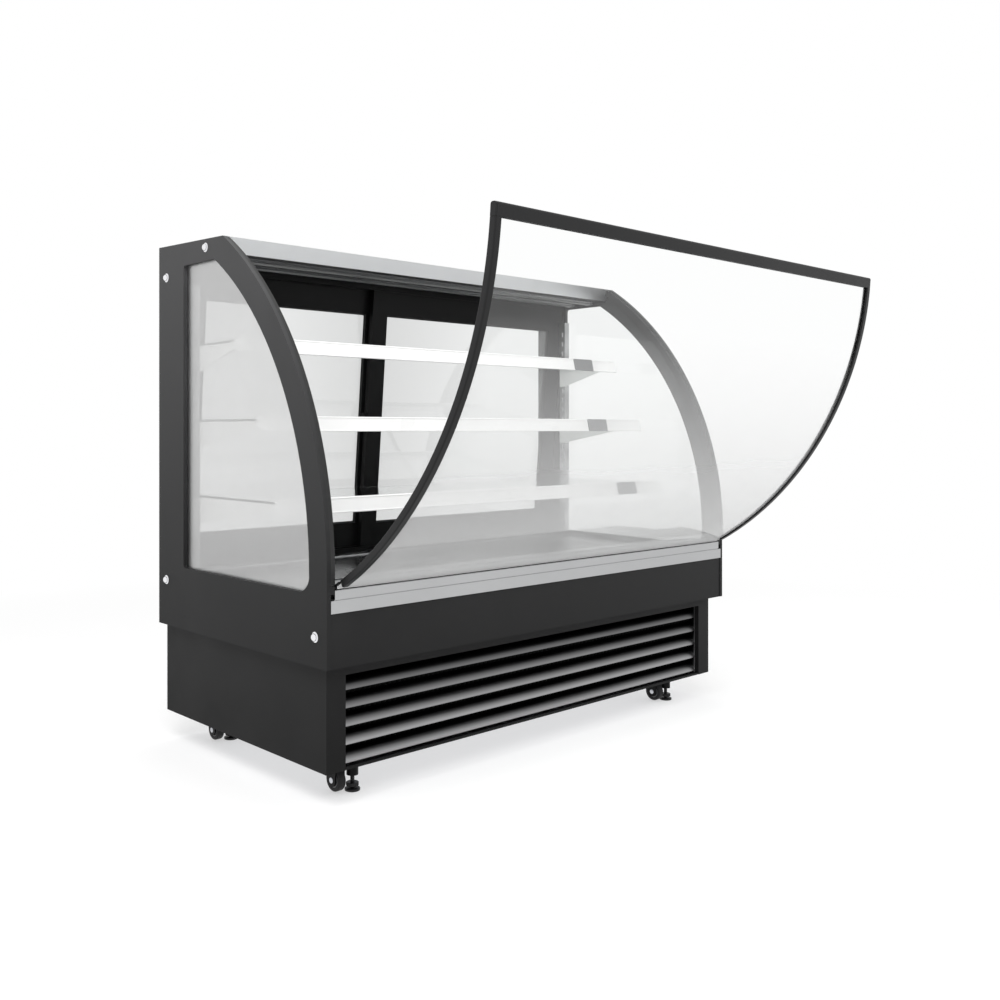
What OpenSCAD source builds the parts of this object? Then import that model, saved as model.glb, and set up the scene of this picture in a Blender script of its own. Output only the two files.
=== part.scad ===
// Refrigerated display case with a curved front glass that swings forward, in millimetres.
// x runs along the case, y from the customer's side to the back, z up from the floor.
// Heights count from the floor and depths from the end panels' front edge.
// The whole part is then moved so that the middle of its footprint lies on the origin.

/* [Case] */
// Length over the outer faces of the end panels
case_w = 1400; // [1300:10:1600]
// Depth of the end panels
case_d = 712; // [704:2:740]
// Height of the end panels at the back
case_h = 1228; // [1216:2:1260]
// Fall of the roof from the back to its front edge
roof_fall = 11; // [8:1:14]
// Thickness of the end panels
panel_t = 10; // [8:1:12]
// Depth of the canopy to the case's back
canopy_d = 308.3; // [304:0.1:312]
// Height of the curve's centre above the bottom of the front trim
curve_lift = 75; // [68:1:82]
// Depth that the straight front edge cuts off the curve
front_flat = 0.6; // [0.4:0.1:1.2]

/* [Side windows] */
// Width of the dark band along the curved edge
window_band = 62; // [56:1:68]
// Height of the window's lower edge above the deck
window_sill = 13; // [10:1:18]
// Drop of the window's upper edge below the roof's back edge
window_head = 59; // [56:1:66]
// Distance of the window's rear edge from the panel's rear edge
window_back = 125; // [110:1:140]
// Radius of the window's lower front corner
window_corner_r = 38; // [30:1:44]
// Overlap of that corner's curve past the window's curved edge
window_corner_lap = 1; // [0.8:0.1:1.4]
// Radius of the window's rear corners
window_rear_r = 8; // [5:1:12]
// Thickness of the insulated end glass
end_glass_t = 10; // [8:1:12]
// Setback of the end glass's front edge from the curved edge
end_glass_setback = 23; // [21:1:26]
// Gap between the end glass's top and the canopy's underside
end_glass_head = 2; // [1:0.5:4]
// Distance of the end glass's rear edge from the panel's rear edge
end_glass_back = 6; // [4:1:10]
// Thickness of the dark seal strips toward the panels
seal_w = 13; // [12:0.5:13.5]
// Width of the dark seal strips along the curve
seal_band = 19; // [16:1:20]

/* [Cap nuts] */
// Radius of a cap nut's collar
nut_r = 11; // [9:0.5:12]
// Height of a cap nut's collar
nut_collar = 2.5; // [2:0.5:3]
// Radius of a cap nut's dome
nut_dome_r = 8; // [6:0.5:8.5]
// Height of a cap nut's dome
nut_dome_h = 6; // [4:0.5:7]
// Distance of the side nuts from the panel's straight edges
nut_inset = 40; // [36:1:44]
// Height of the lower front nut above the panel's lower edge
nut_front_rise = 62; // [50:1:70]
// Height of the lower rear nut above the panel's lower edge
nut_rear_rise = 111; // [90:1:120]
// Drop of the upper rear nut below the roof's back edge
nut_rear_drop = 79; // [70:1:90]
// Distance of the upper front nut behind the canopy's front edge
nut_ridge_back = 77; // [60:1:90]
// Drop of the upper front nut below the roof
nut_ridge_drop = 21; // [18:1:26]

/* [Base] */
// Height of the base's lower edge above the floor
floor_gap = 72; // [70:1:76]
// Height of the base
base_h = 221; // [219:1:230]
// Inset of the base's sides from the end panels' outer faces
base_inset = 22; // [20:1:26]
// Setback of the base's front
base_setback = 32; // [28:1:36]
// Thickness of the base's sheet
sheet_t = 3; // [2:0.5:3]
// Width of each front column
column_w = 49; // [44:1:54]
// Depth of the folds behind the columns and the rail
fold_d = 40; // [36:1:44]
// Height of the rail over the grille
rail_h = 24; // [20:1:26]
// Recess of the rear cover from the panels' rear edge
rear_recess = 12; // [12:1:15]
// Thickness of the rear cover
cover_t = 2; // [1.5:0.5:3]
// Number of vent slots in each group on the rear cover
vent_count = 9; // [6:1:10]
// Distance between the rear cover's vent slots
vent_pitch = 16; // [14:1:17]
// Height of a vent slot
vent_slot_h = 6; // [4:1:8]
// Length of a vent slot
vent_slot_l = 220; // [180:10:240]

/* [Grille] */
// Number of slats
slat_count = 5; // [4:1:5]
// Distance between slats
slat_pitch = 38; // [36:0.5:38.5]
// Height of the lowest slat above the base's lower edge
slat_first = 10; // [8:1:12]
// Setback of the slats from the base's front
slat_setback = 12; // [10:1:14]
// Height of a slat's front lip
slat_lip = 6; // [5:0.5:7]
// Depth of a slat
slat_d = 17; // [14:1:20]
// Rise of a slat's plate toward the back
slat_rise = 8.5; // [7:0.5:10]
// Thickness of a slat
slat_t = 2; // [1.5:0.5:2.5]
// Thickness of the grille's end plates
grille_end_t = 3; // [2:0.5:4]

/* [Well and deck] */
// Height of the insulated well
well_h = 132; // [130:1:140]
// Thickness of the well's floor
well_floor_t = 42; // [36:1:44]
// Thickness of the well's end walls
well_end_t = 50; // [40:1:54]
// Thickness of the well's front and rear walls
well_wall_t = 48; // [44:1:50]
// Radius of the port for the refrigerant pipes
port_r = 22; // [20:1:26]
// Number of deck trays
tray_count = 3; // [2:1:4]
// Thickness of the deck trays
tray_t = 3; // [2:0.5:4]
// Gap between deck trays
tray_gap = 1.5; // [1:0.5:3]
// Depth of the ledges that carry the deck trays
ledge_d = 12; // [8:1:16]
// Depth of the rear air grille
return_d = 54; // [50:1:56]
// Height of the rear air grille above the deck
return_rise = 3; // [2:0.5:5]
// Front edge of the air sill behind the panels' front edge
sill_y = 20; // [20:0.5:24]
// Depth of the air sill
sill_d = 80; // [76:1:90]
// Height of the air sill above the deck
sill_h = 30; // [26:1:32]
// Wall thickness of the air sill
sill_t = 2; // [1.5:0.5:3]
// Number of air slots in the sill and in the rear grille
air_slots = 12; // [8:1:14]
// Width of an air slot
air_slot_w = 18; // [12:1:20]
// Bar between two air slots
air_slot_bar = 12; // [8:1:20]

/* [Front panel and trim] */
// Height of the front panel
front_panel_h = 112; // [108:1:116]
// Depth from the panels' front edge to the well
front_d = 12; // [12:0.5:14]
// Setback of the front panel's face
front_panel_setback = 2; // [1:0.5:3]
// Thickness of the front panel's sheet
front_sheet_t = 2; // [1.5:0.5:2.5]
// Height of the lower trim
trim_h = 26; // [24:1:28]
// Distance that the trim stands in front of the panels' edge
trim_proud = 1; // [0.5:0.5:2]
// Wall thickness of the trim
trim_t = 2.5; // [2:0.5:3]
// Height of the groove between the lower trim and the lip
groove_h = 2; // [1:0.5:3]
// Height of the rounded lip
lip_h = 19; // [18:0.2:19.2]
// Thickness of the lip
lip_t = 2; // [1.5:0.25:2.25]
// Distance that the lip stands in front of the panels' edge
lip_proud = 0.5; // [0:0.1:0.6]
// Thickness of the gasket on the lip's rear wall
gasket_t = 2; // [1.5:0.25:2]
// Height of the gasket above the lip's rear wall
gasket_h = 10; // [8:1:12]

/* [Front glass] */
// Forward tilt of the opened front glass from its closed place
glass_tilt = 60; // [56:1:60]
// Thickness of the front glass
glass_t = 6; // [5:0.5:6]
// Setback of the front glass's middle from the curved edge
glass_setback = 10; // [9.6:0.1:10.4]
// Gap between the closed glass's top edge and the canopy
glass_head = 15; // [14:0.5:30]
// Distance of the front glass's side strips from the case's ends
glass_end_gap = 24; // [24:0.5:28]
// Setback of the hinge's axis from the panels' front edge
pivot_y = 9; // [8.8:0.1:9.2]
// Height of the hinge's axis above the bottom of the front trim
pivot_lift = 47; // [47:0.1:48]
// Height of the front glass's lower edge above the hinge's axis
glass_foot = 6; // [5.5:0.1:6.5]
// Width of the side strips
strip_w = 15; // [13:1:17]
// Thickness of the side strips
strip_t = 16; // [14:0.5:16]
// Depth of the groove that holds the glass in strips and handle
groove_d = 11; // [8:1:12]
// Height of the handle bar along the glass
bar_h = 26; // [22:1:30]
// Thickness of the handle bar
bar_t = 14; // [12:0.5:16]
// Radius of the hinge bead on the rail
bead_r = 7; // [6.5:0.1:7]
// Thickness of the rail's flange behind the glass
flange_t = 4.2; // [3:0.1:4.3]
// Height of the rail's flange above the hinge's axis
flange_h = 22; // [16:1:26]
// Radius of the hinge pins
pin_r = 4; // [3.5:0.1:4]
// Radial clearance of the hinge pins
pin_clearance = 0.05; // [0.03:0.01:0.08]
// Depth of the pins in the bead
pin_depth = 14; // [10:1:18]
// Side of the square hinge blocks
hinge_block_h = 17; // [16:1:17]

/* [Canopy] */
// Depth of the silver band on the canopy's front
band_d = 40; // [36:1:40]
// Thickness of the silver band
band_t = 3; // [2:0.5:4]
// Thickness of the roof and the liner sheets
roof_t = 2; // [1.5:0.5:3]
// Height of the roof's rear fold
roof_fold = 40; // [30:1:50]
// Depth of the liner behind the band
liner_d = 222; // [216:1:230]
// Width of a canopy light strip
lamp_w = 30; // [24:1:34]
// Height of a canopy light strip
lamp_h = 9; // [7:1:12]
// Gap from the band to the front light strip
lamp_first = 28; // [20:1:36]
// Gap from the back light strip to the doors
lamp_gap = 22.9; // [16:0.1:34]
// Inset of the light strips from the end glass
lamp_inset = 12; // [6:1:20]

/* [Rear doors] */
// Lean of the rear doors, tops toward the customer
door_lean = 5; // [4.5:0.1:5.2]
// Distance of the door frame's foot from the panels' rear edge
frame_setback = 60; // [56:1:62]
// Depth of the door frame
frame_d = 44; // [44:0.5:46]
// Thickness of the tracks and jambs
frame_t = 5; // [4:0.5:6]
// Height of the tracks' lips
track_lip_h = 12; // [10:1:14]
// Thickness of the tracks' lips
track_lip_t = 2.5; // [2:0.1:2.6]
// Thickness of a door
door_t = 16; // [14:0.5:16]
// Clearance of a door in the tracks
door_gap = 0.8; // [0.4:0.1:0.9]
// Width of the meeting stiles
stile_w = 52; // [46:1:60]
// Width of the outer stiles
jamb_stile_w = 59; // [50:1:64]
// Height of the doors' rails
door_rail_h = 78; // [70:1:84]
// Left edge of the right door from the case's middle
right_door_x = -112; // [-124:1:-100]
// Right edge of the left door from the case's middle
left_door_x = -66; // [-76:1:-56]
// Thickness of the door panes
pane_t = 5; // [4:0.5:6]
// Depth of the panes' grooves in the doors
pane_lap = 6; // [4:1:8]
// Length of the door pulls
pull_h = 150; // [120:5:180]
// Width of the door pulls
pull_w = 16; // [12:1:20]
// How far the left door's pull stands out
pull_d = 14; // [10:1:14]
// Radius of the bumper on the right door's edge
bumper_r = 9; // [7:0.5:10]
// Length of the bumper
bumper_l = 13; // [9:1:15]
// Height of the bumper above the deck
bumper_rise = 389; // [360:1:420]

/* [Shelves] */
// Thickness of the glass shelves
shelf_t = 6; // [5:0.5:8]
// Depth of the top shelf
top_shelf_d = 197; // [180:1:220]
// Depth of the middle shelf
middle_shelf_d = 292; // [270:1:310]
// Depth of the bottom shelf
bottom_shelf_d = 365; // [345:1:385]
// Side of a shelf upright
upright_w = 20; // [18:1:22]
// Depth of a shelf upright
upright_d = 22; // [20:1:26]
// Wall thickness of an upright
upright_t = 2; // [1.5:0.5:2.5]
// Distance of the uprights' top below the canopy's underside
upright_drop = 60; // [50:1:70]
// Number of slots in an upright
slot_count = 22; // [19:1:23]
// Drop of the last slot below the top
slot_last = 39.3; // [30:0.1:46]
// Height of the first slot above the deck
slot_first = 15.5; // [14:0.5:18]
// Height of a slot
slot_h = 14; // [12:1:16]
// Width of a slot
slot_w = 6; // [5:0.5:8]
// Height of a shelf's top above its bracket's slot
shelf_rise = 20; // [18:0.5:24]
// Thickness of the brackets
bracket_t = 3; // [2:0.5:4]
// Height of the brackets at the back
bracket_h = 62; // [54:1:72]
// Height of the brackets at the front
bracket_nose_h = 12; // [10:1:14]
// Width of the brackets' flanges under the shelves
bracket_flange_w = 18; // [14:1:24]
// Height of a label bar
bar_face_h = 35; // [32:1:38]
// Height of a label bar above its shelf
bar_rise = 6; // [4:0.5:8]
// Thickness of a label bar
bar_depth = 10; // [8:0.5:12]
// Forward slant of a label bar's lower edge
bar_slant = 8; // [6:0.5:10]
// Gap between a label bar's end and the end glass
bar_end_gap = 6; // [4:0.5:8]
// Depth of a label bar's lip under its shelf
bar_lip_d = 11; // [8:1:14]
// Length of a power block
power_block_w = 84; // [70:1:95]
// Thickness of a power block
power_block_t = 2; // [1.5:0.5:3]

/* [Refrigeration] */
// Length of the evaporator coil
evaporator_l = 900; // [800:10:960]
// Depth of the evaporator coil
evaporator_d = 120; // [100:1:130]
// Height of the evaporator coil
evaporator_h = 66; // [60:1:68]
// Distance of the evaporator's shroud in front of the coil
evaporator_plenum = 58; // [54:1:66]
// Radius of the evaporator's fan
evaporator_fan_r = 31; // [26:1:31]
// Width of the condenser coil
condenser_w = 240; // [220:5:260]
// Height of the condenser coil
condenser_h = 178; // [174:1:180]
// Depth of the condenser coil
condenser_d = 40; // [34:1:44]
// Radius of the condenser's fan
condenser_fan_r = 78; // [70:1:80]
// Gap between a fan's blades and its ring
fan_gap = 4; // [3:0.5:6]
// Number of fan blades
blade_count = 5; // [4:1:6]
// Thickness of a fan's blades
blade_t = 2; // [1.5:0.5:2.5]
// Pitch of the fan blades
blade_pitch = 28; // [20:1:32]
// Radius of the compressor's shell
compressor_r = 80; // [70:1:84]
// Height of the compressor's shell
compressor_h = 165; // [150:1:170]
// Radius of the copper pipes
pipe_r = 5; // [4:0.5:5.5]
// Length of the drain tray
drain_l = 190; // [150:5:210]
// Depth of the drain tray
drain_d = 96; // [80:2:110]
// Height of the drain tray
drain_h = 28; // [22:1:34]
// Wall thickness of the drain tray
drain_t = 2; // [1.5:0.5:3]

/* [Controls] */
// Width of the controller's bezel
controller_w = 79; // [74:1:84]
// Height of the controller's bezel
controller_h = 37; // [33:1:41]
// Thickness of the controller's bezel
controller_bezel_t = 5; // [4:0.5:6]
// Depth of the controller's body
controller_d = 58; // [50:1:64]
// Width of a rocker switch
rocker_w = 13; // [11:1:15]
// Height of a rocker switch
rocker_h = 20; // [18:1:22]
// Tilt of a rocker to each side
rocker_deg = 6; // [4:0.5:8]
// Radius of the cable gland
gland_r = 12; // [10:0.5:14]
// Length of the cable gland behind the rear cover
gland_l = 10; // [8:0.5:11]

/* [Casters] */
// Distance of the casters' feet from the case's ends
foot_inset = 138; // [130:1:150]
// Distance of the front feet behind the panels' front edge
front_foot_y = 98; // [94:1:110]
// Distance of the rear feet from the panels' rear edge
rear_foot_back = 112; // [100:1:120]
// Side of a caster's top plate
plate_w = 60; // [54:1:66]
// Thickness of a caster's top plate
plate_t = 3; // [2:0.5:3]
// Radius of a caster wheel
wheel_r = 25; // [23:0.5:25]
// Width of a caster wheel
wheel_w = 18; // [16:1:18]
// Gap between a caster wheel and the floor
wheel_lift = 2; // [1:0.5:2.5]
// Distance of a caster wheel beside its foot
wheel_aside = 33; // [33:0.5:36]
// Distance of a caster wheel behind its foot
wheel_back = 14; // [12:0.5:16]
// Radius of a caster's axle
axle_r = 4; // [3:0.5:5]
// Radius of a foot's pad
foot_r = 17; // [15:0.5:18]
// Height of a foot's pad
foot_h = 6; // [5:0.5:8]
// Radius of a foot's stem
stem_r = 5; // [4:0.5:5.5]
// Radius of a foot's thumb wheel
thumb_r = 14; // [12:0.5:15]
// Height of a foot's thumb wheel
thumb_h = 8; // [6:0.5:9]
// Travel of a foot's screw
foot_travel = 15; // [12:0.5:16]

/* [Hidden] */
$fn = 64;
curve_fn = 240;
over = 1;
fit_gap = 0.3;
run_gap = 0.05;
wedge_share = 1.5;
round_steps = 6;

charcoal = [0.20, 0.20, 0.21];
black = [0.09, 0.09, 0.10];
satin = [0.80, 0.81, 0.82];
steel = [0.62, 0.63, 0.65];
chrome = [0.88, 0.88, 0.90];
clear = [0.75, 0.88, 0.90, 0.35];
white = [0.95, 0.95, 0.94];
grey = [0.45, 0.46, 0.48];
rubber = [0.12, 0.12, 0.12];
copper = [0.72, 0.45, 0.30];
foam = [0.86, 0.87, 0.88];

// Levels from the floor up
base_floor_top = floor_gap + sheet_t;
well_z = floor_gap + base_h;
rim_z = well_z + well_h;
deck_z = rim_z + tray_t;
trim_z = well_z + front_panel_h;
curve_z = trim_z + curve_lift;
pivot_z = trim_z + pivot_lift;
window_z = deck_z + window_sill;
window_top = case_h - window_head;

// Depths from the panels' front edge
canopy_y = case_d - canopy_d;
canopy_z = case_h - roof_fall;
canopy_deg = 2 * atan((canopy_y + front_flat) / (canopy_z - curve_z));
curve_r = (canopy_z - curve_z) / sin(canopy_deg);
curve_y = curve_r - front_flat;
glass_r = curve_r - glass_setback;
glass_top_deg = canopy_deg - arc_deg(glass_head);
roof_slope = roof_fall / (case_d - canopy_y);
liner_z = curve_z + (curve_r - band_d) * sin(canopy_deg);
slot_pitch = (liner_z - upright_drop - slot_last - deck_z - slot_first) / (slot_count - 1);
base_y = base_setback;
cover_y = case_d - rear_recess;
frame_y = case_d - frame_setback;
well_back_y = cover_y;
cavity_y = front_d + well_wall_t;
cavity_back_y = well_back_y - well_wall_t;
sill_back_y = sill_y + sill_d;
return_y = frame_y - over - return_d;

// Lengths from the case's middle
end_x = case_w / 2;
inner_x = end_x - panel_t;
room_x = inner_x - end_glass_t;
side_x = end_x - base_inset;
side_in = side_x - sheet_t;
column_x = side_x - column_w;
cavity_x = inner_x - well_end_t;
glass_x = end_x - glass_end_gap;

// Opened glass: how far its top outer corner reaches forward
glass_out_r = glass_r + strip_t / 2;
glass_top_y = curve_y - glass_out_r * cos(glass_top_deg) - pivot_y;
glass_top_z = curve_z + glass_out_r * sin(glass_top_deg) - pivot_z;
front_reach = pivot_y + glass_top_y * cos(glass_tilt) - glass_top_z * sin(glass_tilt);
origin_y = (front_reach + case_d) / 2;

function roof_z(y) = case_h - (case_d - y) * roof_slope;
function on_curve(r, deg) = [curve_y - r * cos(deg), curve_z + r * sin(deg)];
function arc_deg(l) = l / glass_r * 180 / PI;
function level_deg(z, r) = asin((z - curve_z) / r);
function slot_z(i) = deck_z + slot_first + slot_pitch * i;
function door_y(z) = frame_y - (z - rim_z) * tan(door_lean);

// Shared helpers

module placed() {
    translate([0, -origin_y, 0])
        children();
}

module block(low, high) {
    translate(low)
        cube(high - low);
}

// Extrudes an outline of depth and height along the case
module along_x(x_from, x_to) {
    translate([x_from, 0, 0])
        rotate([90, 0, 90])
            linear_extrude(x_to - x_from)
                children();
}

module both_ends() {
    children();
    mirror([1, 0, 0])
        children();
}

// A band about the curve's centre between two angles
module curve_band(outer_r, inner_r, from_deg, to_deg) {
    reach = outer_r * wedge_share;
    translate([curve_y, curve_z])
        intersection() {
            difference() {
                circle(r = outer_r, $fn = curve_fn);
                circle(r = inner_r, $fn = curve_fn);
            }
            polygon([
                [0, 0],
                [-reach * cos(from_deg), reach * sin(from_deg)],
                [-reach * cos(to_deg), reach * sin(to_deg)]]);
        }
}

// Everything in front of the curve is cut away above the curve's centre
module curve_limit(r, front, bottom, back) {
    translate([curve_y, curve_z])
        circle(r = r, $fn = curve_fn);
    polygon([[front, bottom], [back, bottom], [back, curve_z], [front, curve_z]]);
}

// Points of a quarter round from one direction to the next
function quarter(centre, r, from_deg) = [
    for (i = [0 : round_steps])
        centre + r * [cos(from_deg + i * 90 / round_steps), sin(from_deg + i * 90 / round_steps)]];

// End panels with their windows

module panel_outline() {
    intersection() {
        polygon([
            [0, well_z],
            [case_d, well_z],
            [case_d, case_h],
            [0, roof_z(0)]]);
        curve_limit(curve_r, 0, well_z, case_d);
    }
}

module window_outline() {
    band_r = curve_r - window_band;
    front = curve_y - band_r;
    corner_y = front - window_corner_lap + window_corner_r;
    back = case_d - window_back;
    intersection() {
        polygon(concat(
            quarter([corner_y, window_z + window_corner_r], window_corner_r, 180),
            quarter([back - window_rear_r, window_z + window_rear_r], window_rear_r, 270),
            quarter([back - window_rear_r, window_top - window_rear_r], window_rear_r, 0),
            [[corner_y - window_corner_r, window_top]]));
        translate([curve_y, curve_z])
            circle(r = band_r, $fn = curve_fn);
    }
}

module end_panel() {
    along_x(inner_x, end_x)
        difference() {
            panel_outline();
            window_outline();
        }
}

module end_panel_left() {
    color(charcoal) placed()
        mirror([1, 0, 0])
            end_panel();
}

module end_panel_right() {
    color(charcoal) placed()
        end_panel();
}

module end_glass() {
    front = end_glass_setback;
    back = case_d - end_glass_back;
    top = liner_z - end_glass_head;
    along_x(room_x, inner_x)
        intersection() {
            polygon([[front, rim_z], [back, rim_z], [back, top], [front, top]]);
            curve_limit(curve_r - end_glass_setback, front, rim_z, back);
        }
}

module end_glass_left() {
    color(clear) placed()
        mirror([1, 0, 0])
            end_glass();
}

module end_glass_right() {
    color(clear) placed()
        end_glass();
}

// Two curved seals before the end glass and a straight one on the lip's rear wall
module glass_seals() {
    outer_r = curve_r - end_glass_setback + seal_band;
    inner_r = curve_r - end_glass_setback + fit_gap;
    low_deg = level_deg(pivot_z + hinge_block_h / 2 + over, outer_r);
    color(rubber) placed() {
        both_ends()
            along_x(inner_x - seal_w, inner_x)
                curve_band(outer_r, inner_r, low_deg, canopy_deg);
        block(
            [-inner_x + panel_t, sill_y - gasket_t, lip_back_top()],
            [inner_x - panel_t, sill_y, lip_back_top() + gasket_h]);
    }
}

// Cap nuts on the end panels

module cap_nut() {
    dome = [
        for (i = [0 : round_steps])
            [nut_dome_r * cos(i * 90 / round_steps), nut_collar + nut_dome_h * sin(i * 90 / round_steps)]];
    rotate([0, 90, 0])
        rotate_extrude()
            polygon(concat([[0, 0], [nut_r, 0], [nut_r, nut_collar]], dome));
}

function nut_places() = [
    [nut_inset, well_z + nut_front_rise],
    [case_d - nut_inset, well_z + nut_rear_rise],
    [case_d - nut_inset, case_h - nut_rear_drop],
    [canopy_y + nut_ridge_back, roof_z(canopy_y + nut_ridge_back) - nut_ridge_drop]];

module cap_nuts() {
    color(chrome) placed()
        both_ends()
            for (place = nut_places())
                translate([end_x, place[0], place[1]])
                    cap_nut();
}

// Base: shell, floor, grille and rear cover

module base_shell() {
    rail_z = well_z - rail_h;
    color(charcoal) placed() {
        both_ends() {
            block([side_in, base_y, floor_gap], [side_x, case_d, well_z]);
            block([column_x, base_y, floor_gap], [side_x, base_y + sheet_t, well_z]);
            block(
                [column_x, base_y, base_floor_top],
                [column_x + sheet_t, base_y + fold_d, rail_z + sheet_t]);
        }
        block([-column_x, base_y, rail_z], [column_x, base_y + sheet_t, well_z]);
        block([-column_x, base_y, rail_z], [column_x, base_y + fold_d, rail_z + sheet_t]);
    }
}

module base_floor() {
    color(steel) placed()
        block([-side_in, base_y + sheet_t, floor_gap], [side_in, cover_y, base_floor_top]);
}

module slat_outline() {
    polygon([
        [0, 0],
        [slat_t, 0],
        [slat_t, slat_lip - slat_t],
        [slat_d, slat_lip + slat_rise - slat_t],
        [slat_d, slat_lip + slat_rise],
        [0, slat_lip]]);
}

module louvre_grille() {
    front = base_y + slat_setback;
    half = column_x - fit_gap;
    top = well_z - rail_h - fit_gap;
    color(black) placed() {
        both_ends()
            block([half - grille_end_t, front, base_floor_top], [half, front + slat_d + slat_t, top]);
        for (i = [0 : slat_count - 1])
            along_x(-half, half)
                translate([front, floor_gap + slat_first + slat_pitch * i])
                    slat_outline();
    }
}

// Places on the rear cover, from the case's middle and the floor
controls_z = well_z - rail_h - controller_h / 2;
controller_x = side_in - controller_w;
light_x = controller_x - controller_w;
power_x = light_x - 2 * rocker_h;
gland_x = controller_x;
gland_z = base_floor_top + 2 * gland_r;

module cover_cuts() {
    cut_front = cover_y - cover_t - over;
    cut_back = cover_y + over;
    vent_z = base_floor_top + vent_pitch;
    for (side = [-1, 1], i = [0 : vent_count - 1])
        translate([side * vent_slot_l, 0, vent_z + vent_pitch * i])
            block([-vent_slot_l / 2, cut_front, 0], [vent_slot_l / 2, cut_back, vent_slot_h]);
    translate([controller_x, 0, controls_z])
        block(
            [-controller_hole_w() / 2 - fit_gap, cut_front, -controller_hole_h() / 2 - fit_gap],
            [controller_hole_w() / 2 + fit_gap, cut_back, controller_hole_h() / 2 + fit_gap]);
    for (x = [light_x, power_x])
        translate([x, 0, controls_z])
            block(
                [-rocker_w / 2 - fit_gap, cut_front, -rocker_h / 2 - rocker_gap()],
                [rocker_w / 2 + fit_gap, cut_back, rocker_h / 2 + rocker_gap()]);
    translate([gland_x, cut_front, gland_z])
        rotate([-90, 0, 0])
            cylinder(r = gland_thread_r() + fit_gap, h = cover_t + 2 * over);
}

module rear_cover() {
    color(charcoal) placed()
        difference() {
            block([-side_in, cover_y - cover_t, base_floor_top], [side_in, cover_y, well_z - fit_gap]);
            cover_cuts();
        }
}

// Insulated well with its deck

module well() {
    color(foam) placed()
        difference() {
            block([-inner_x, front_d, well_z], [inner_x, well_back_y, rim_z]);
            block(
                [-cavity_x, cavity_y, well_z + well_floor_t],
                [cavity_x, cavity_back_y, rim_z + over]);
            translate([port_x(), port_y(), well_z - over])
                cylinder(r = port_r, h = well_floor_t + 2 * over);
        }
}

module air_slot_row(y_from, y_to, z_from, z_to) {
    pitch = 2 * cavity_x / air_slots;
    for (i = [0 : air_slots - 1])
        translate([-cavity_x + pitch * (i + 1 / 2), 0, 0])
            block(
                [-pitch / 2 + air_slot_bar / 2, y_from, z_from],
                [pitch / 2 - air_slot_bar / 2, y_to, z_to]);
}

module deck_trays() {
    pitch = (2 * room_x - tray_gap) / tray_count;
    ledge_low = rim_z - tray_t;
    slot_y = cavity_back_y - well_wall_t / 2 - air_slot_w;
    color(steel) placed() {
        for (i = [0 : tray_count - 1])
            translate([-room_x + tray_gap + pitch * i, 0, 0])
                block([0, sill_back_y + fit_gap, rim_z], [pitch - tray_gap, return_y, deck_z]);
        difference() {
            union() {
                block(
                    [-room_x + tray_gap, return_y + fit_gap, rim_z],
                    [room_x - tray_gap, door_y(deck_z + return_rise) - fit_gap, deck_z + return_rise]);
                block(
                    [-cavity_x + fit_gap, return_y - ledge_d, ledge_low],
                    [cavity_x - fit_gap, cavity_back_y - fit_gap, rim_z - fit_gap]);
                block(
                    [-cavity_x + fit_gap, return_y + fit_gap, ledge_low],
                    [cavity_x - fit_gap, cavity_back_y - fit_gap, rim_z + over]);
            }
            air_slot_row(slot_y, slot_y + air_slot_w, ledge_low - over, deck_z + return_rise + over);
        }
    }
}

module air_sill() {
    top = deck_z + sill_h;
    slot_y = sill_back_y - 2 * sill_t - air_slot_w;
    ledge_low = rim_z - tray_t;
    color(satin) placed()
        difference() {
            union() {
                difference() {
                    block([-room_x + fit_gap, sill_y, rim_z], [room_x - fit_gap, sill_back_y, top]);
                    block(
                        [-room_x, sill_y + sill_t, rim_z - over],
                        [room_x, sill_back_y - sill_t, top - sill_t]);
                }
                block(
                    [-cavity_x + fit_gap, sill_back_y - sill_t, ledge_low],
                    [cavity_x - fit_gap, sill_back_y, rim_z + over]);
                block(
                    [-cavity_x + fit_gap, sill_back_y - sill_t, ledge_low],
                    [cavity_x - fit_gap, sill_back_y + ledge_d, rim_z - fit_gap]);
            }
            air_slot_row(slot_y, slot_y + air_slot_w, top - sill_t - over, top + over);
        }
}

// Front panel, trim and hinge blocks

module front_panel() {
    front = front_panel_setback;
    color(charcoal) placed()
        along_x(-inner_x, inner_x)
            difference() {
                polygon([[front, well_z], [front_d, well_z], [front_d, trim_z], [front, trim_z]]);
                polygon([
                    [front + front_sheet_t, well_z + front_sheet_t],
                    [front_d + over, well_z + front_sheet_t],
                    [front_d + over, trim_z - front_sheet_t],
                    [front + front_sheet_t, trim_z - front_sheet_t]]);
            }
}

function lip_z() = trim_z + trim_h + groove_h;
function lip_back_top() = pivot_z - gasket_t;

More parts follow.
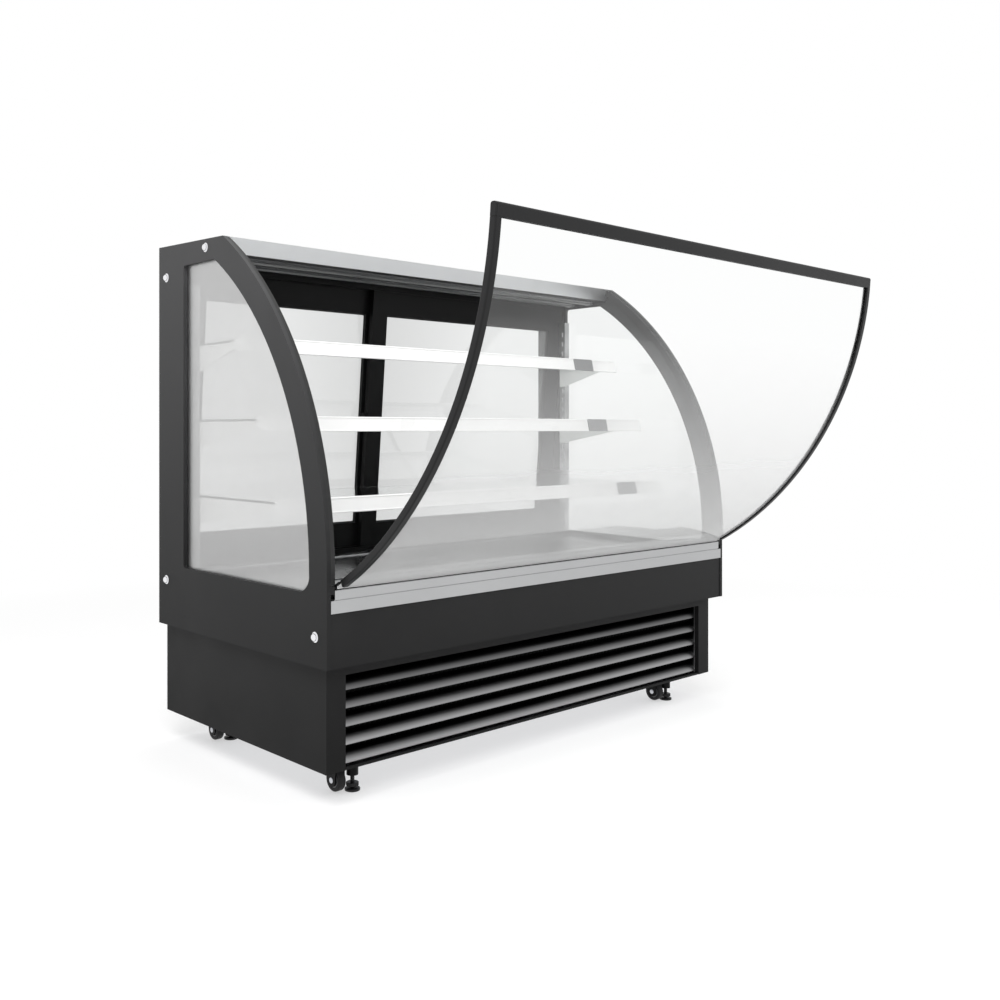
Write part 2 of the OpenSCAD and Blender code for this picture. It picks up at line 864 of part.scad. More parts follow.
module front_trim() {
    trim_top = trim_z + trim_h;
    lip_low = lip_z();
    lip_top = trim_z + trim_h + groove_h + lip_h;
    lip_front = -lip_proud;
    lip_round = lip_t / 2;
    color(satin) placed() {
        along_x(-inner_x, inner_x)
            difference() {
                polygon([
                    [-trim_proud, trim_z],
                    [front_d, trim_z],
                    [front_d, trim_top],
                    [-trim_proud, trim_top]]);
                polygon([
                    [-trim_proud + trim_t, trim_z + trim_t],
                    [front_d + over, trim_z + trim_t],
                    [front_d + over, trim_top - trim_t],
                    [-trim_proud + trim_t, trim_top - trim_t]]);
            }
        along_x(-room_x, room_x)
            polygon([
                [lip_front + trim_t, trim_top],
                [front_d, trim_top],
                [front_d, lip_low],
                [sill_y, lip_low],
                [sill_y, lip_back_top()],
                [sill_y - gasket_t, lip_back_top()],
                [sill_y - gasket_t, lip_low + trim_t],
                [lip_front + lip_t, lip_low + trim_t],
                [lip_front + lip_t, lip_top],
                [lip_front + lip_round, lip_top],
                [lip_front, lip_top - lip_round],
                [lip_front, lip_low],
                [lip_front + trim_t, lip_low]]);
    }
}

module hinge_blocks() {
    half = hinge_block_h / 2;
    color(black) placed()
        both_ends() {
            block(
                [room_x + fit_gap, pivot_y - half, pivot_z - half],
                [inner_x, pivot_y + half, pivot_z + half]);
            translate([glass_x - pin_depth, pivot_y, pivot_z])
                rotate([0, 90, 0])
                    cylinder(r = pin_r, h = inner_x - end_glass_t / 2 - glass_x + pin_depth);
        }
}

// Front glass, drawn closed and then swung open

module opened() {
    translate([0, pivot_y, pivot_z])
        rotate([glass_tilt, 0, 0])
            translate([0, -pivot_y, -pivot_z])
                children();
}

function glass_low_deg() = level_deg(pivot_z + glass_foot, glass_r);

module glass_sheet(x, from_deg, to_deg, gap) {
    along_x(-x - gap, x + gap)
        curve_band(glass_r + glass_t / 2 + gap, glass_r - glass_t / 2 - gap, from_deg, to_deg);
}

module front_glass() {
    top_deg = glass_top_deg - arc_deg(bar_h - groove_d);
    color(clear) placed()
        opened()
            glass_sheet(glass_x - strip_w + groove_d, glass_low_deg(), top_deg, 0);
}

module glass_strips() {
    low_deg = level_deg(curve_z, glass_r);
    top_deg = glass_top_deg - arc_deg(bar_h);
    color(black) placed()
        opened()
            difference() {
                both_ends()
                    along_x(glass_x - strip_w, glass_x)
                        curve_band(glass_out_r, glass_out_r - strip_t, low_deg, top_deg);
                glass_sheet(
                    glass_x - strip_w + groove_d,
                    low_deg - arc_deg(over),
                    top_deg + arc_deg(over),
                    fit_gap);
            }
}

module glass_handle() {
    low_deg = glass_top_deg - arc_deg(bar_h);
    glass_end_deg = low_deg + arc_deg(groove_d + fit_gap);
    color(black) placed()
        opened()
            difference() {
                along_x(-glass_x, glass_x)
                    curve_band(glass_r + bar_t / 2, glass_r - bar_t / 2, low_deg, glass_top_deg);
                glass_sheet(
                    glass_x - strip_w + groove_d,
                    low_deg - arc_deg(over),
                    glass_end_deg,
                    fit_gap);
            }
}

module glass_rail() {
    flange_out = glass_r - glass_t / 2 - fit_gap;
    foot_z = pivot_z + glass_foot - fit_gap;
    color(black) placed()
        opened()
            difference() {
                union() {
                    translate([-glass_x, pivot_y, pivot_z])
                        rotate([0, 90, 0])
                            cylinder(r = bead_r, h = 2 * glass_x);
                    along_x(-glass_x, glass_x)
                        curve_band(
                            flange_out,
                            flange_out - flange_t,
                            level_deg(pivot_z, flange_out),
                            level_deg(pivot_z + flange_h, flange_out));
                }
                block(
                    [-glass_x - over, pivot_y - bead_r - over, foot_z],
                    [glass_x + over, curve_y - flange_out + fit_gap / 2, foot_z + bead_r]);
                both_ends()
                    translate([glass_x - pin_depth - over, pivot_y, pivot_z])
                        rotate([0, 90, 0])
                            cylinder(r = pin_r + pin_clearance, h = pin_depth + 2 * over);
            }
}

// Canopy

module canopy_band() {
    back = [band_t * sin(canopy_deg), band_t * cos(canopy_deg)];
    low = on_curve(curve_r - band_d, canopy_deg);
    top_back = canopy_y + band_t / sin(canopy_deg);
    color(satin) placed()
        along_x(-inner_x, inner_x)
            polygon([[canopy_y, canopy_z], low, low + back, [top_back, roof_z(top_back)]]);
}

module canopy_cover() {
    front = canopy_y + band_t / sin(canopy_deg);
    back_in = case_d - roof_t;
    lap = front + roof_t * cos(canopy_deg) / sin(canopy_deg);
    color(satin) placed()
        along_x(-inner_x, inner_x)
            polygon([
                [front, roof_z(front)],
                [lap, roof_z(front) - roof_t],
                [back_in, roof_z(back_in) - roof_t],
                [back_in, roof_z(back_in) - roof_fold],
                [case_d, roof_z(case_d) - roof_fold],
                [case_d, case_h]]);
}

function liner_y() = on_curve(curve_r - band_d, canopy_deg)[0] + band_t / sin(canopy_deg);
function lamp_y(i) = i ? door_y(liner_z) - lamp_gap - lamp_w : liner_y() + lamp_first;

module canopy_liner() {
    front = liner_y();
    back = front + liner_d;
    color(black) placed()
        along_x(-inner_x, inner_x)
            polygon([
                [front, liner_z],
                [back, liner_z],
                [back, roof_z(back) - roof_t - run_gap],
                [back - roof_t, roof_z(back - roof_t) - roof_t - run_gap],
                [back - roof_t, liner_z + roof_t],
                [front - roof_t * cos(canopy_deg) / sin(canopy_deg), liner_z + roof_t]]);
}

module canopy_lamps() {
    half = room_x - lamp_inset;
    color(satin) placed()
        for (i = [0, 1])
            along_x(-half, half)
                polygon([
                    [lamp_y(i), liner_z],
                    [lamp_y(i), liner_z - lamp_h / 3],
                    [lamp_y(i) + lamp_w / 4, liner_z - lamp_h],
                    [lamp_y(i) + lamp_w * 3 / 4, liner_z - lamp_h],
                    [lamp_y(i) + lamp_w, liner_z - lamp_h / 3],
                    [lamp_y(i) + lamp_w, liner_z]]);
}

// Rear doors: everything here is drawn upright and then leaned about the frame's front foot

module leaned() {
    translate([0, frame_y, rim_z])
        rotate([door_lean, 0, 0])
            children();
}

function frame_top() = (liner_z - rim_z - frame_d * sin(door_lean)) / cos(door_lean) - frame_t;
function lip_y(i) = i * (frame_d - track_lip_t) / 2;
function door_low() = frame_t + door_gap;
function door_high() = frame_top() - door_gap;
function door_front(track) = lip_y(track) + (lip_y(1) - lip_y(0) + track_lip_t - door_t) / 2;

module frame_blank() {
    sink = 2 * frame_t;
    block([-room_x, 0, -sink], [room_x, frame_d, frame_t]);
    block([-room_x, 0, frame_top()], [room_x, frame_d, frame_top() + frame_t + sink]);
    both_ends()
        block([room_x - frame_t, 0, -sink], [room_x, frame_d, frame_top() + frame_t + sink]);
    for (i = [0 : 2]) {
        block([-room_x, lip_y(i), 0], [room_x, lip_y(i) + track_lip_t, frame_t + track_lip_h]);
        block(
            [-room_x, lip_y(i), frame_top() - track_lip_h],
            [room_x, lip_y(i) + track_lip_t, frame_top() + frame_t]);
    }
}

module door_frame() {
    color(black) placed()
        difference() {
            leaned()
                frame_blank();
            block([-end_x, 0, rim_z - 4 * frame_t], [end_x, case_d, rim_z]);
            block([-end_x, 0, liner_z], [end_x, case_d, liner_z + 4 * frame_t]);
        }
}

// A door between two edges, with the groove for its pane
module door_leaf(track, left, right, left_stile, right_stile) {
    front = door_front(track);
    difference() {
        block([left, front, door_low()], [right, front + door_t, door_high()]);
        block(
            [left + left_stile, front - over, door_low() + door_rail_h],
            [right - right_stile, front + door_t + over, door_high() - door_rail_h]);
        pane_blank(track, left + left_stile, right - right_stile, run_gap);
    }
}

module pane_blank(track, left, right, gap) {
    middle = door_front(track) + door_t / 2;
    lap = pane_lap + gap;
    half = pane_t / 2 + gap;
    block(
        [left - lap, middle - half, door_low() + door_rail_h - lap],
        [right + lap, middle + half, door_high() - door_rail_h + lap]);
}

function door_edge() = room_x - frame_t - door_gap;

module door_pull(track, x) {
    back = door_front(track) + door_t;
    middle = (door_low() + door_high()) / 2;
    block([x - pull_w / 2, back, middle - pull_h / 2], [x + pull_w / 2, back + pull_d, middle + pull_h / 2]);
}

module door_right() {
    color(black) placed()
        leaned() {
            difference() {
                door_leaf(0, right_door_x, door_edge(), stile_w, jamb_stile_w);
                translate([0, -pull_d / 2, 0])
                    door_pull(0, door_edge() - jamb_stile_w / 2);
            }
            translate([right_door_x - bumper_l, door_front(0) + door_t / 2, bumper_rise])
                rotate([0, 90, 0])
                    cylinder(r = bumper_body_r(), h = bumper_l);
        }
}

function bumper_body_r() = min(bumper_r, door_t / 2);

module door_left() {
    color(black) placed()
        leaned() {
            door_leaf(1, -door_edge(), left_door_x, jamb_stile_w, stile_w);
            door_pull(1, -door_edge() + jamb_stile_w / 2);
        }
}

module pane_right() {
    color(clear) placed()
        leaned()
            pane_blank(0, right_door_x + stile_w, door_edge() - jamb_stile_w, 0);
}

module pane_left() {
    color(clear) placed()
        leaned()
            pane_blank(1, -door_edge() + jamb_stile_w, left_door_x - stile_w, 0);
}

// Shelves: uprights, brackets, glass and label bars

shelf_slots = [5, 11, 17];
shelf_depths = [bottom_shelf_d, middle_shelf_d, top_shelf_d];
power_block_shares = [0.696, 0.631, 0.703];
function upright_top() = liner_z - upright_drop;
function upright_back() = door_y(upright_top()) - over;
function upright_front() = upright_back() - upright_d;
function upright_in() = room_x - upright_w;
function shelf_z(i) = slot_z(shelf_slots[i]) + shelf_rise;
function shelf_back() = upright_back() - upright_d / 3;
function shelf_front(i) = shelf_back() - shelf_depths[i];
function shelf_x() = upright_in() - bracket_t - fit_gap;

module uprights() {
    slot_y = upright_front() + upright_d / 2;
    color(white) placed()
        both_ends()
            difference() {
                block([upright_in(), upright_front(), deck_z], [room_x, upright_back(), upright_top()]);
                block(
                    [upright_in() + upright_t, upright_front() + upright_t, deck_z - over],
                    [room_x + over, upright_back() - upright_t, upright_top() + over]);
                for (i = [0 : slot_count - 1])
                    translate([upright_in() - over, slot_y, slot_z(i)])
                        block(
                            [0, -slot_w / 2, -slot_h / 2],
                            [upright_t + 2 * over, slot_w / 2, slot_h / 2]);
            }
}

module bracket(i) {
    top = shelf_z(i) - shelf_t;
    front = shelf_front(i) + bar_lip_d + fit_gap;
    back = upright_back() - upright_t;
    slot_y = upright_front() + upright_d / 2;
    hook_w = slot_w / 2 - fit_gap;
    hook_h = slot_h / 2 - fit_gap;
    along_x(upright_in() - bracket_t, upright_in())
        polygon([
            [front, top],
            [back, top],
            [back, top - bracket_h],
            [upright_front(), top - bracket_h],
            [front, top - bracket_nose_h]]);
    block(
        [upright_in() - bracket_flange_w, front, top - bracket_t],
        [upright_in() - bracket_t + over, back, top]);
    translate([upright_in() - over, slot_y, slot_z(shelf_slots[i])])
        block([0, -hook_w, -hook_h], [over + 2 * upright_t, hook_w, hook_h]);
}

module brackets() {
    color(white) placed()
        both_ends()
            for (i = [0 : 2])
                bracket(i);
}

module shelf(i) {
    color(clear) placed()
        block(
            [-shelf_x(), shelf_front(i), shelf_z(i) - shelf_t],
            [shelf_x(), shelf_back(), shelf_z(i)]);
}

module shelf_top() {
    shelf(2);
}

module shelf_middle() {
    shelf(1);
}

module shelf_bottom() {
    shelf(0);
}

function bar_low(i) = shelf_z(i) + bar_rise - bar_face_h;
function bar_top_front(i) = [shelf_front(i) - bar_depth, shelf_z(i) + bar_rise];
function bar_low_front(i) = [shelf_front(i) - bar_depth - bar_slant, bar_low(i)];

module label_bar(i) {
    front = shelf_front(i);
    under = shelf_z(i) - shelf_t;
    half = room_x - bar_end_gap;
    along_x(-half, half)
        polygon([
            bar_top_front(i),
            [front, shelf_z(i) + bar_rise],
            [front, under],
            [front + bar_lip_d, under],
            [front + bar_lip_d, under - bracket_t],
            [front, under - bracket_t],
            bar_low_front(i) + [bar_depth, 0],
            bar_low_front(i)]);
}

module label_bars() {
    color(white) placed()
        for (i = [0 : 2])
            label_bar(i);
}

module power_blocks() {
    forward = [power_block_t, 0];
    color(grey) placed()
        for (i = [0 : 2])
            translate([room_x * power_block_shares[i], 0, 0])
                along_x(0, power_block_w)
                    polygon([
                        bar_top_front(i),
                        bar_low_front(i),
                        bar_low_front(i) - forward,
                        bar_top_front(i) - forward]);
}

// Fans: a hub with pitched blades about the depth axis, facing front

module fan(hub_r, hub_l, tip_r, shaft_r) {
    blade_w = hub_r * 4 / 3;
    rotate([-90, 0, 0])
        difference() {
            union() {
                cylinder(r = hub_r, h = hub_l);
                for (i = [0 : blade_count - 1])
                    rotate([0, 0, i * 360 / blade_count])
                        translate([hub_r - over, 0, hub_l / 2])
                            rotate([blade_pitch, 0, 0])
                                block(
                                    [0, -blade_w / 2, -blade_t / 2],
                                    [blade_l(tip_r, hub_r), blade_w / 2, blade_t / 2]);
            }
            translate([0, 0, -over])
                cylinder(r = shaft_r + run_gap, h = hub_l + 2 * over);
        }
}

function blade_l(tip_r, hub_r) = tip_r - hub_r + over - blade_t;

// Evaporator coil with its shroud, motor and shaft in the well

evaporator_hub_r = 10;
evaporator_hub_l = 16;
evaporator_shaft_r = 3;
case_wall_t = 2;
function evaporator_z() = well_z + well_floor_t;
function evaporator_y() = (cavity_y + cavity_back_y) / 2 + evaporator_plenum;
function evaporator_shroud_y() = evaporator_y() - evaporator_plenum;
function evaporator_axis_z() = evaporator_z() + (fan_gap + evaporator_h) / 2;

module evaporator() {
    half = evaporator_l / 2;
    floor_z = evaporator_z();
    core_z = floor_z + fan_gap;
    top = core_z + evaporator_h;
    shroud_y = evaporator_shroud_y();
    motor_y = shroud_y + evaporator_hub_l;
    color(steel) placed() {
        block([-half, evaporator_y(), core_z], [half, evaporator_y() + evaporator_d, top]);
        both_ends()
            block(
                [half, shroud_y, floor_z],
                [half + case_wall_t, evaporator_y() + evaporator_d, top + case_wall_t]);
        difference() {
            block([-half, shroud_y, floor_z], [half, shroud_y + case_wall_t, top + case_wall_t]);
            translate([0, shroud_y - over, evaporator_axis_z()])
                rotate([-90, 0, 0])
                    cylinder(r = evaporator_fan_r + fan_gap / 2, h = case_wall_t + 2 * over);
        }
        block([-half, shroud_y, top], [half, evaporator_y() + evaporator_d, top + case_wall_t]);
        translate([0, motor_y, evaporator_axis_z()])
            rotate([-90, 0, 0])
                cylinder(r = evaporator_hub_r + fan_gap, h = evaporator_y() - motor_y + over);
        translate([0, motor_y - evaporator_hub_l - fan_gap, evaporator_axis_z()])
            rotate([-90, 0, 0])
                cylinder(r = evaporator_shaft_r, h = evaporator_hub_l + fan_gap + over);
    }
}

module evaporator_fan() {
    color(black) placed()
        translate([0, evaporator_shroud_y() - fan_gap, evaporator_axis_z()])
            fan(evaporator_hub_r, evaporator_hub_l, evaporator_fan_r, evaporator_shaft_r);
}

// Condenser coil with its shroud, motor and shaft behind the grille

condenser_hub_r = 24;
condenser_hub_l = 24;
condenser_shaft_r = 4;
condenser_motor_r = 32;
condenser_motor_l = 44;
condenser_plenum = 44;
condenser_back = 22;
condenser_inset = 80;
motor_arm_w = 14;
function condenser_x() = -side_in + condenser_inset + condenser_w / 2;
function condenser_y() = base_y + fold_d + condenser_back;
function condenser_axis_z() = base_floor_top + case_wall_t + condenser_h / 2;
function condenser_plate_y() = condenser_y() + condenser_d + condenser_plenum;

module condenser() {
    half = condenser_w / 2;
    front = condenser_y();
    back = front + condenser_d;
    plate_y = condenser_plate_y();
    low = base_floor_top + case_wall_t;
    top = low + condenser_h + case_wall_t;
    motor_y = plate_y + condenser_hub_l;
    arm_y = motor_y + condenser_motor_l / 2;
    arm_low = condenser_axis_z() - motor_arm_w / 2;
    arm_top = condenser_axis_z() + motor_arm_w / 2;
    color(steel) placed()
        translate([condenser_x(), 0, 0]) {
            block([-half, front, low], [half, back, top - case_wall_t]);
            both_ends()
                block([half, front, base_floor_top], [half + case_wall_t, plate_y + case_wall_t, top]);
            block([-half, front, top - case_wall_t], [half, plate_y + case_wall_t, top]);
            block([-half, front, base_floor_top], [half, plate_y + case_wall_t, low]);
            difference() {
                block([-half, plate_y, base_floor_top], [half, plate_y + case_wall_t, top]);
                translate([0, plate_y - over, condenser_axis_z()])
                    rotate([-90, 0, 0])
                        cylinder(r = condenser_fan_r + fan_gap, h = case_wall_t + 2 * over);
            }
            translate([0, motor_y, condenser_axis_z()])
                rotate([-90, 0, 0])
                    cylinder(r = condenser_motor_r, h = condenser_motor_l);
            translate([0, plate_y - fan_gap, condenser_axis_z()])
                rotate([-90, 0, 0])
                    cylinder(r = condenser_shaft_r, h = condenser_hub_l + fan_gap + over);
            block([-half, arm_y, arm_low], [half, arm_y + case_wall_t, arm_top]);
            both_ends()
                block([half - case_wall_t, plate_y, arm_low], [half, arm_y + case_wall_t, arm_top]);
        }
}

module condenser_fan() {
    color(black) placed()
        translate([condenser_x(), condenser_plate_y() - fan_gap, condenser_axis_z()])
            fan(condenser_hub_r, condenser_hub_l, condenser_fan_r, condenser_shaft_r);
}

// Compressor on its foot plate, pipes and drain tray

compressor_foot_h = 8;
compressor_plate_t = 4;
compressor_round = 24;
grommet_r = 11;
terminal_w = 54;
terminal_d = 26;
function compressor_x() = side_in * 2 / 9;
function compressor_y() = base_y + 3 * fold_d + condenser_w * 3 / 4;
function compressor_z() = base_floor_top + compressor_foot_h + compressor_plate_t;

module compressor() {
    half = compressor_r + grommet_r;
    round_r = compressor_round;
    shell = [
        for (i = [0 : round_steps])
            [
                compressor_r - round_r + round_r * cos(i * 90 / round_steps),
                compressor_h - round_r + round_r * sin(i * 90 / round_steps)]];
    color(black) placed()
        translate([compressor_x(), compressor_y(), 0]) {
            for (sx = [-1, 1], sy = [-1, 1])
                translate([sx * (half - grommet_r), sy * (half - grommet_r), base_floor_top])
                    cylinder(r = grommet_r, h = compressor_foot_h + over);
            block(
                [-half, -half, base_floor_top + compressor_foot_h],
                [half, half, compressor_z()]);
            translate([0, 0, compressor_z() - over])
                rotate_extrude()
                    polygon(concat([[0, 0], [compressor_r, 0]], shell, [[0, compressor_h]]));
            block(
                [-terminal_w / 2, compressor_r - terminal_d / 2, compressor_z() + terminal_d],
                [terminal_w / 2, compressor_r + terminal_d, compressor_z() + terminal_d + terminal_w]);
        }
}

fitting_share = 1.25;
pipe_clear = 18;
pipe_high = 140;
pipe_low = 35;
function port_x() = evaporator_l / 2 + pipe_clear + port_r;
function port_y() = evaporator_y() + evaporator_d / 2;

// Straight pipes along a route, with a round fitting at each bend
module pipe_run(points) {
    for (i = [0 : len(points) - 2]) {
        run = points[i + 1] - points[i];
        translate(points[i])
            rotate([0, acos(run[2] / norm(run)), atan2(run[1], run[0])])
                cylinder(r = pipe_r, h = norm(run));
    }
    for (i = [1 : len(points) - 2])
        translate(points[i])
            sphere(r = pipe_r * fitting_share);
}

module pipework() {
    coil_x = condenser_x() + condenser_w / 2 + case_wall_t;
    coil_y = condenser_y() + condenser_d / 2;
    left_x = coil_x + 2 * pipe_clear;
    side = compressor_r;
    high_z = base_floor_top + pipe_high;
    low_z = base_floor_top + pipe_low;
    liquid_x = port_x() - port_r / 2;
    suction_x = port_x() + port_r / 2;
    end_face = evaporator_l / 2 + case_wall_t;
    coil_low = evaporator_z() + evaporator_h / 3;
    coil_high = evaporator_z() + evaporator_h * 2 / 3;
    front_y = port_y() - evaporator_d / 4;
    color(copper) placed() {
        pipe_run([
            [coil_x, coil_y, high_z],
            [left_x, coil_y, high_z],
            [left_x, compressor_y(), high_z],
            [compressor_x() - side, compressor_y(), high_z]]);
        pipe_run([
            [coil_x, coil_y, low_z],
            [left_x - pipe_clear, coil_y, low_z],
            [left_x - pipe_clear, port_y(), low_z],
            [liquid_x, port_y(), low_z],
            [liquid_x, port_y(), coil_low],
            [end_face, port_y(), coil_low]]);
        pipe_run([
            [end_face, front_y, coil_high],
            [suction_x, front_y, coil_high],
            [suction_x, port_y(), coil_high],
            [suction_x, port_y(), high_z],
            [suction_x, compressor_y(), high_z],
            [compressor_x() + side, compressor_y(), high_z]]);
    }
}

module drain_tray() {
    x = -drain_l;
    back = cover_y - cover_t - drain_d / 4;
    color(grey) placed()
        translate([x, back - drain_d, base_floor_top])
            difference() {
                block([0, 0, 0], [drain_l, drain_d, drain_h]);
                block(
                    [drain_t, drain_t, drain_t],
                    [drain_l - drain_t, drain_d - drain_t, drain_h + over]);
            }
}

// Controls on the rear cover

bezel_lip = 4;
gland_share = 0.7;
gland_body_l = 12;
rocker_depth = 9;
rocker_flat = 3;
function controller_hole_w() = controller_w - 2 * bezel_lip;
function controller_hole_h() = controller_h - 2 * bezel_lip;
function rocker_gap() = 2 * fit_gap;
function gland_thread_r() = gland_r * gland_share;

module controller() {
    color(black) placed()
        translate([controller_x, cover_y, controls_z]) {
            block(
                [-controller_w / 2, 0, -controller_h / 2],
                [controller_w / 2, controller_bezel_t, controller_h / 2]);
            block(
                [-controller_hole_w() / 2, -controller_d, -controller_hole_h() / 2],
                [controller_hole_w() / 2, over, controller_hole_h() / 2]);
        }
}

// A rocker about an axis along the case in the cover's middle, pressed at its lower end
module rocker() {
    half = rocker_h / 2;
    back = rocker_flat + half * tan(rocker_deg);
    pin_x = rocker_w / 2 + fit_gap - run_gap;
    translate([0, cover_y - cover_t / 2, controls_z]) {
        translate([-pin_x, 0, 0])
            rotate([0, 90, 0])
                cylinder(r = cover_t / 2 - run_gap, h = 2 * pin_x);
        rotate([-rocker_deg, 0, 0])
            along_x(-rocker_w / 2, rocker_w / 2)
                polygon([
                    [-cover_t / 2, -half],
                    [rocker_flat, -half],
                    [back, 0],
                    [rocker_flat, half],
                    [-cover_t / 2, half],
                    [-rocker_depth, half / 3],
                    [-rocker_depth, -half / 3]]);
    }
}

module light_switch() {
    color(black) placed()
        translate([light_x, 0, 0])
            rocker();
}

module power_switch() {
    color(rubber) placed()
        translate([power_x, 0, 0])
            rocker();
}

module cable_gland() {
    color(black) placed()
        translate([gland_x, cover_y, gland_z])
            rotate([-90, 0, 0]) {
                cylinder(r = gland_r, h = gland_l / 2, $fn = 6);
                cylinder(r = gland_thread_r(), h = gland_l);
                translate([0, 0, -gland_body_l])
                    cylinder(r = gland_thread_r(), h = gland_body_l + over);
                translate([0, 0, -gland_body_l])
                    cylinder(r = gland_r, h = gland_body_l - cover_t, $fn = 6);
            }
}

// Casters: each has a plate, a swivelling fork, a wheel and a screw foot

race_share = 0.36;
race_h = 7;
boss_r = 13;
boss_low = 34;
bore_cap = 4;
cheek_t = 3;
cheek_gap = 1;
cheek_r = 14;
crown_t = 5;
thumb_low = 10;
rear_foot_y = case_d - rear_foot_back;
foot_x = end_x - foot_inset;
function fork_top() = floor_gap - plate_t - fit_gap;
function wheel_z() = wheel_r + wheel_lift;
function cheek_x() = wheel_w / 2 + cheek_gap;
function crown_z() = 2 * wheel_r + wheel_lift + cheek_gap + cheek_t;

module at_caster(side, y) {
    placed()
        translate([side * foot_x, y, 0])
            children();
}

module caster_plates() {
    half = plate_w / 2;
    color(steel)
        for (side = [-1, 1], y = [front_foot_y, rear_foot_y])
            at_caster(side, y)
                block([-half, -half, floor_gap - plate_t], [half, half, floor_gap]);
}

module caster_fork() {
    crown = crown_z();
    cheek_front = wheel_back - cheek_r;
    cheek_rear = wheel_back + cheek_r;
    difference() {
        union() {
            translate([0, 0, crown])
                cylinder(r = plate_w * race_share, h = fork_top() - crown);
            translate([0, 0, boss_low])
                cylinder(r = boss_r, h = crown - boss_low + over);
            block(
                [-wheel_aside - cheek_x() - cheek_t, cheek_front, crown],
                [0, cheek_rear, crown + crown_t]);
            translate([-wheel_aside, 0, 0])
                both_ends() {
                    block(
                        [cheek_x(), cheek_front, wheel_z()],
                        [cheek_x() + cheek_t, cheek_rear, crown + over]);
                    translate([cheek_x(), wheel_back, wheel_z()])
                        rotate([0, 90, 0])
                            cylinder(r = cheek_r, h = cheek_t);
                }
            translate([-wheel_aside - cheek_x() - cheek_t, wheel_back, wheel_z()])
                rotate([0, 90, 0])
                    cylinder(r = axle_r, h = 2 * (cheek_x() + cheek_t));
        }
        translate([0, 0, boss_low - over])
            cylinder(r = stem_r + run_gap, h = fork_top() - bore_cap - boss_low + over);
    }
}

module caster_wheel() {
    bevel = wheel_w / 6;
    half = wheel_w / 2;
    translate([-wheel_aside, wheel_back, wheel_z()])
        rotate([0, 90, 0])
            rotate_extrude()
                polygon([
                    [axle_r + run_gap, -half],
                    [wheel_r - bevel, -half],
                    [wheel_r, -half + bevel],
                    [wheel_r, half - bevel],
                    [wheel_r - bevel, half],
                    [axle_r + run_gap, half]]);
}

module caster_foot() {
    rotate_extrude()
        polygon([
            [0, 0],
            [foot_r, 0],
            [foot_r, foot_h / 2],
            [stem_r + over, foot_h],
            [stem_r, foot_h],
            [stem_r, thumb_low],
            [thumb_r, thumb_low],
            [thumb_r, thumb_low + thumb_h],
            [stem_r, thumb_low + thumb_h],
            [stem_r, fork_top() - bore_cap - over],
            [0, fork_top() - bore_cap - over]]);
}

module fork_front_left() {
    color(steel) at_caster(-1, front_foot_y)
        caster_fork();
}

module fork_front_right() {
    color(steel) at_caster(1, front_foot_y)
        caster_fork();
}

module fork_rear_left() {
    color(steel) at_caster(-1, rear_foot_y)
        caster_fork();
}

module fork_rear_right() {
    color(steel) at_caster(1, rear_foot_y)
        caster_fork();
}

module wheel_front_left() {
    color(rubber) at_caster(-1, front_foot_y)
        caster_wheel();
}

module wheel_front_right() {
    color(rubber) at_caster(1, front_foot_y)
        caster_wheel();
}

module wheel_rear_left() {
    color(rubber) at_caster(-1, rear_foot_y)
        caster_wheel();
}

module wheel_rear_right() {
    color(rubber) at_caster(1, rear_foot_y)
        caster_wheel();
}

module foot_front_left() {
    color(black) at_caster(-1, front_foot_y)
        caster_foot();
}

module foot_front_right() {
    color(black) at_caster(1, front_foot_y)
        caster_foot();
}

module foot_rear_left() {
    color(black) at_caster(-1, rear_foot_y)
        caster_foot();
}

module foot_rear_right() {
    color(black) at_caster(1, rear_foot_y)
        caster_foot();
}

end_panel_left();
end_panel_right();
end_glass_left();
end_glass_right();
glass_seals();
cap_nuts();
base_shell();
base_floor();
louvre_grille();
rear_cover();
well();
deck_trays();
air_sill();
front_panel();
front_trim();
hinge_blocks();
front_glass();
glass_strips();
glass_handle();
glass_rail();
canopy_cover();
canopy_band();
canopy_liner();
canopy_lamps();
door_frame();
door_left();
door_right();
pane_left();
pane_right();
uprights();
brackets();
shelf_top();
shelf_middle();
shelf_bottom();
label_bars();
power_blocks();
evaporator();
evaporator_fan();
condenser();
condenser_fan();
compressor();
pipework();
drain_tray();
controller();
light_switch();
power_switch();
cable_gland();
caster_plates();
fork_front_left();
fork_front_right();
fork_rear_left();
fork_rear_right();
wheel_front_left();
wheel_front_right();
wheel_rear_left();
wheel_rear_right();
foot_front_left();
foot_front_right();
foot_rear_left();
foot_rear_right();
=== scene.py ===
"""Looks of a refrigerated bakery display case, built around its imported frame."""
import logging
import math
from dataclasses import dataclass, field
from enum import Enum
from typing import Iterable, Sequence

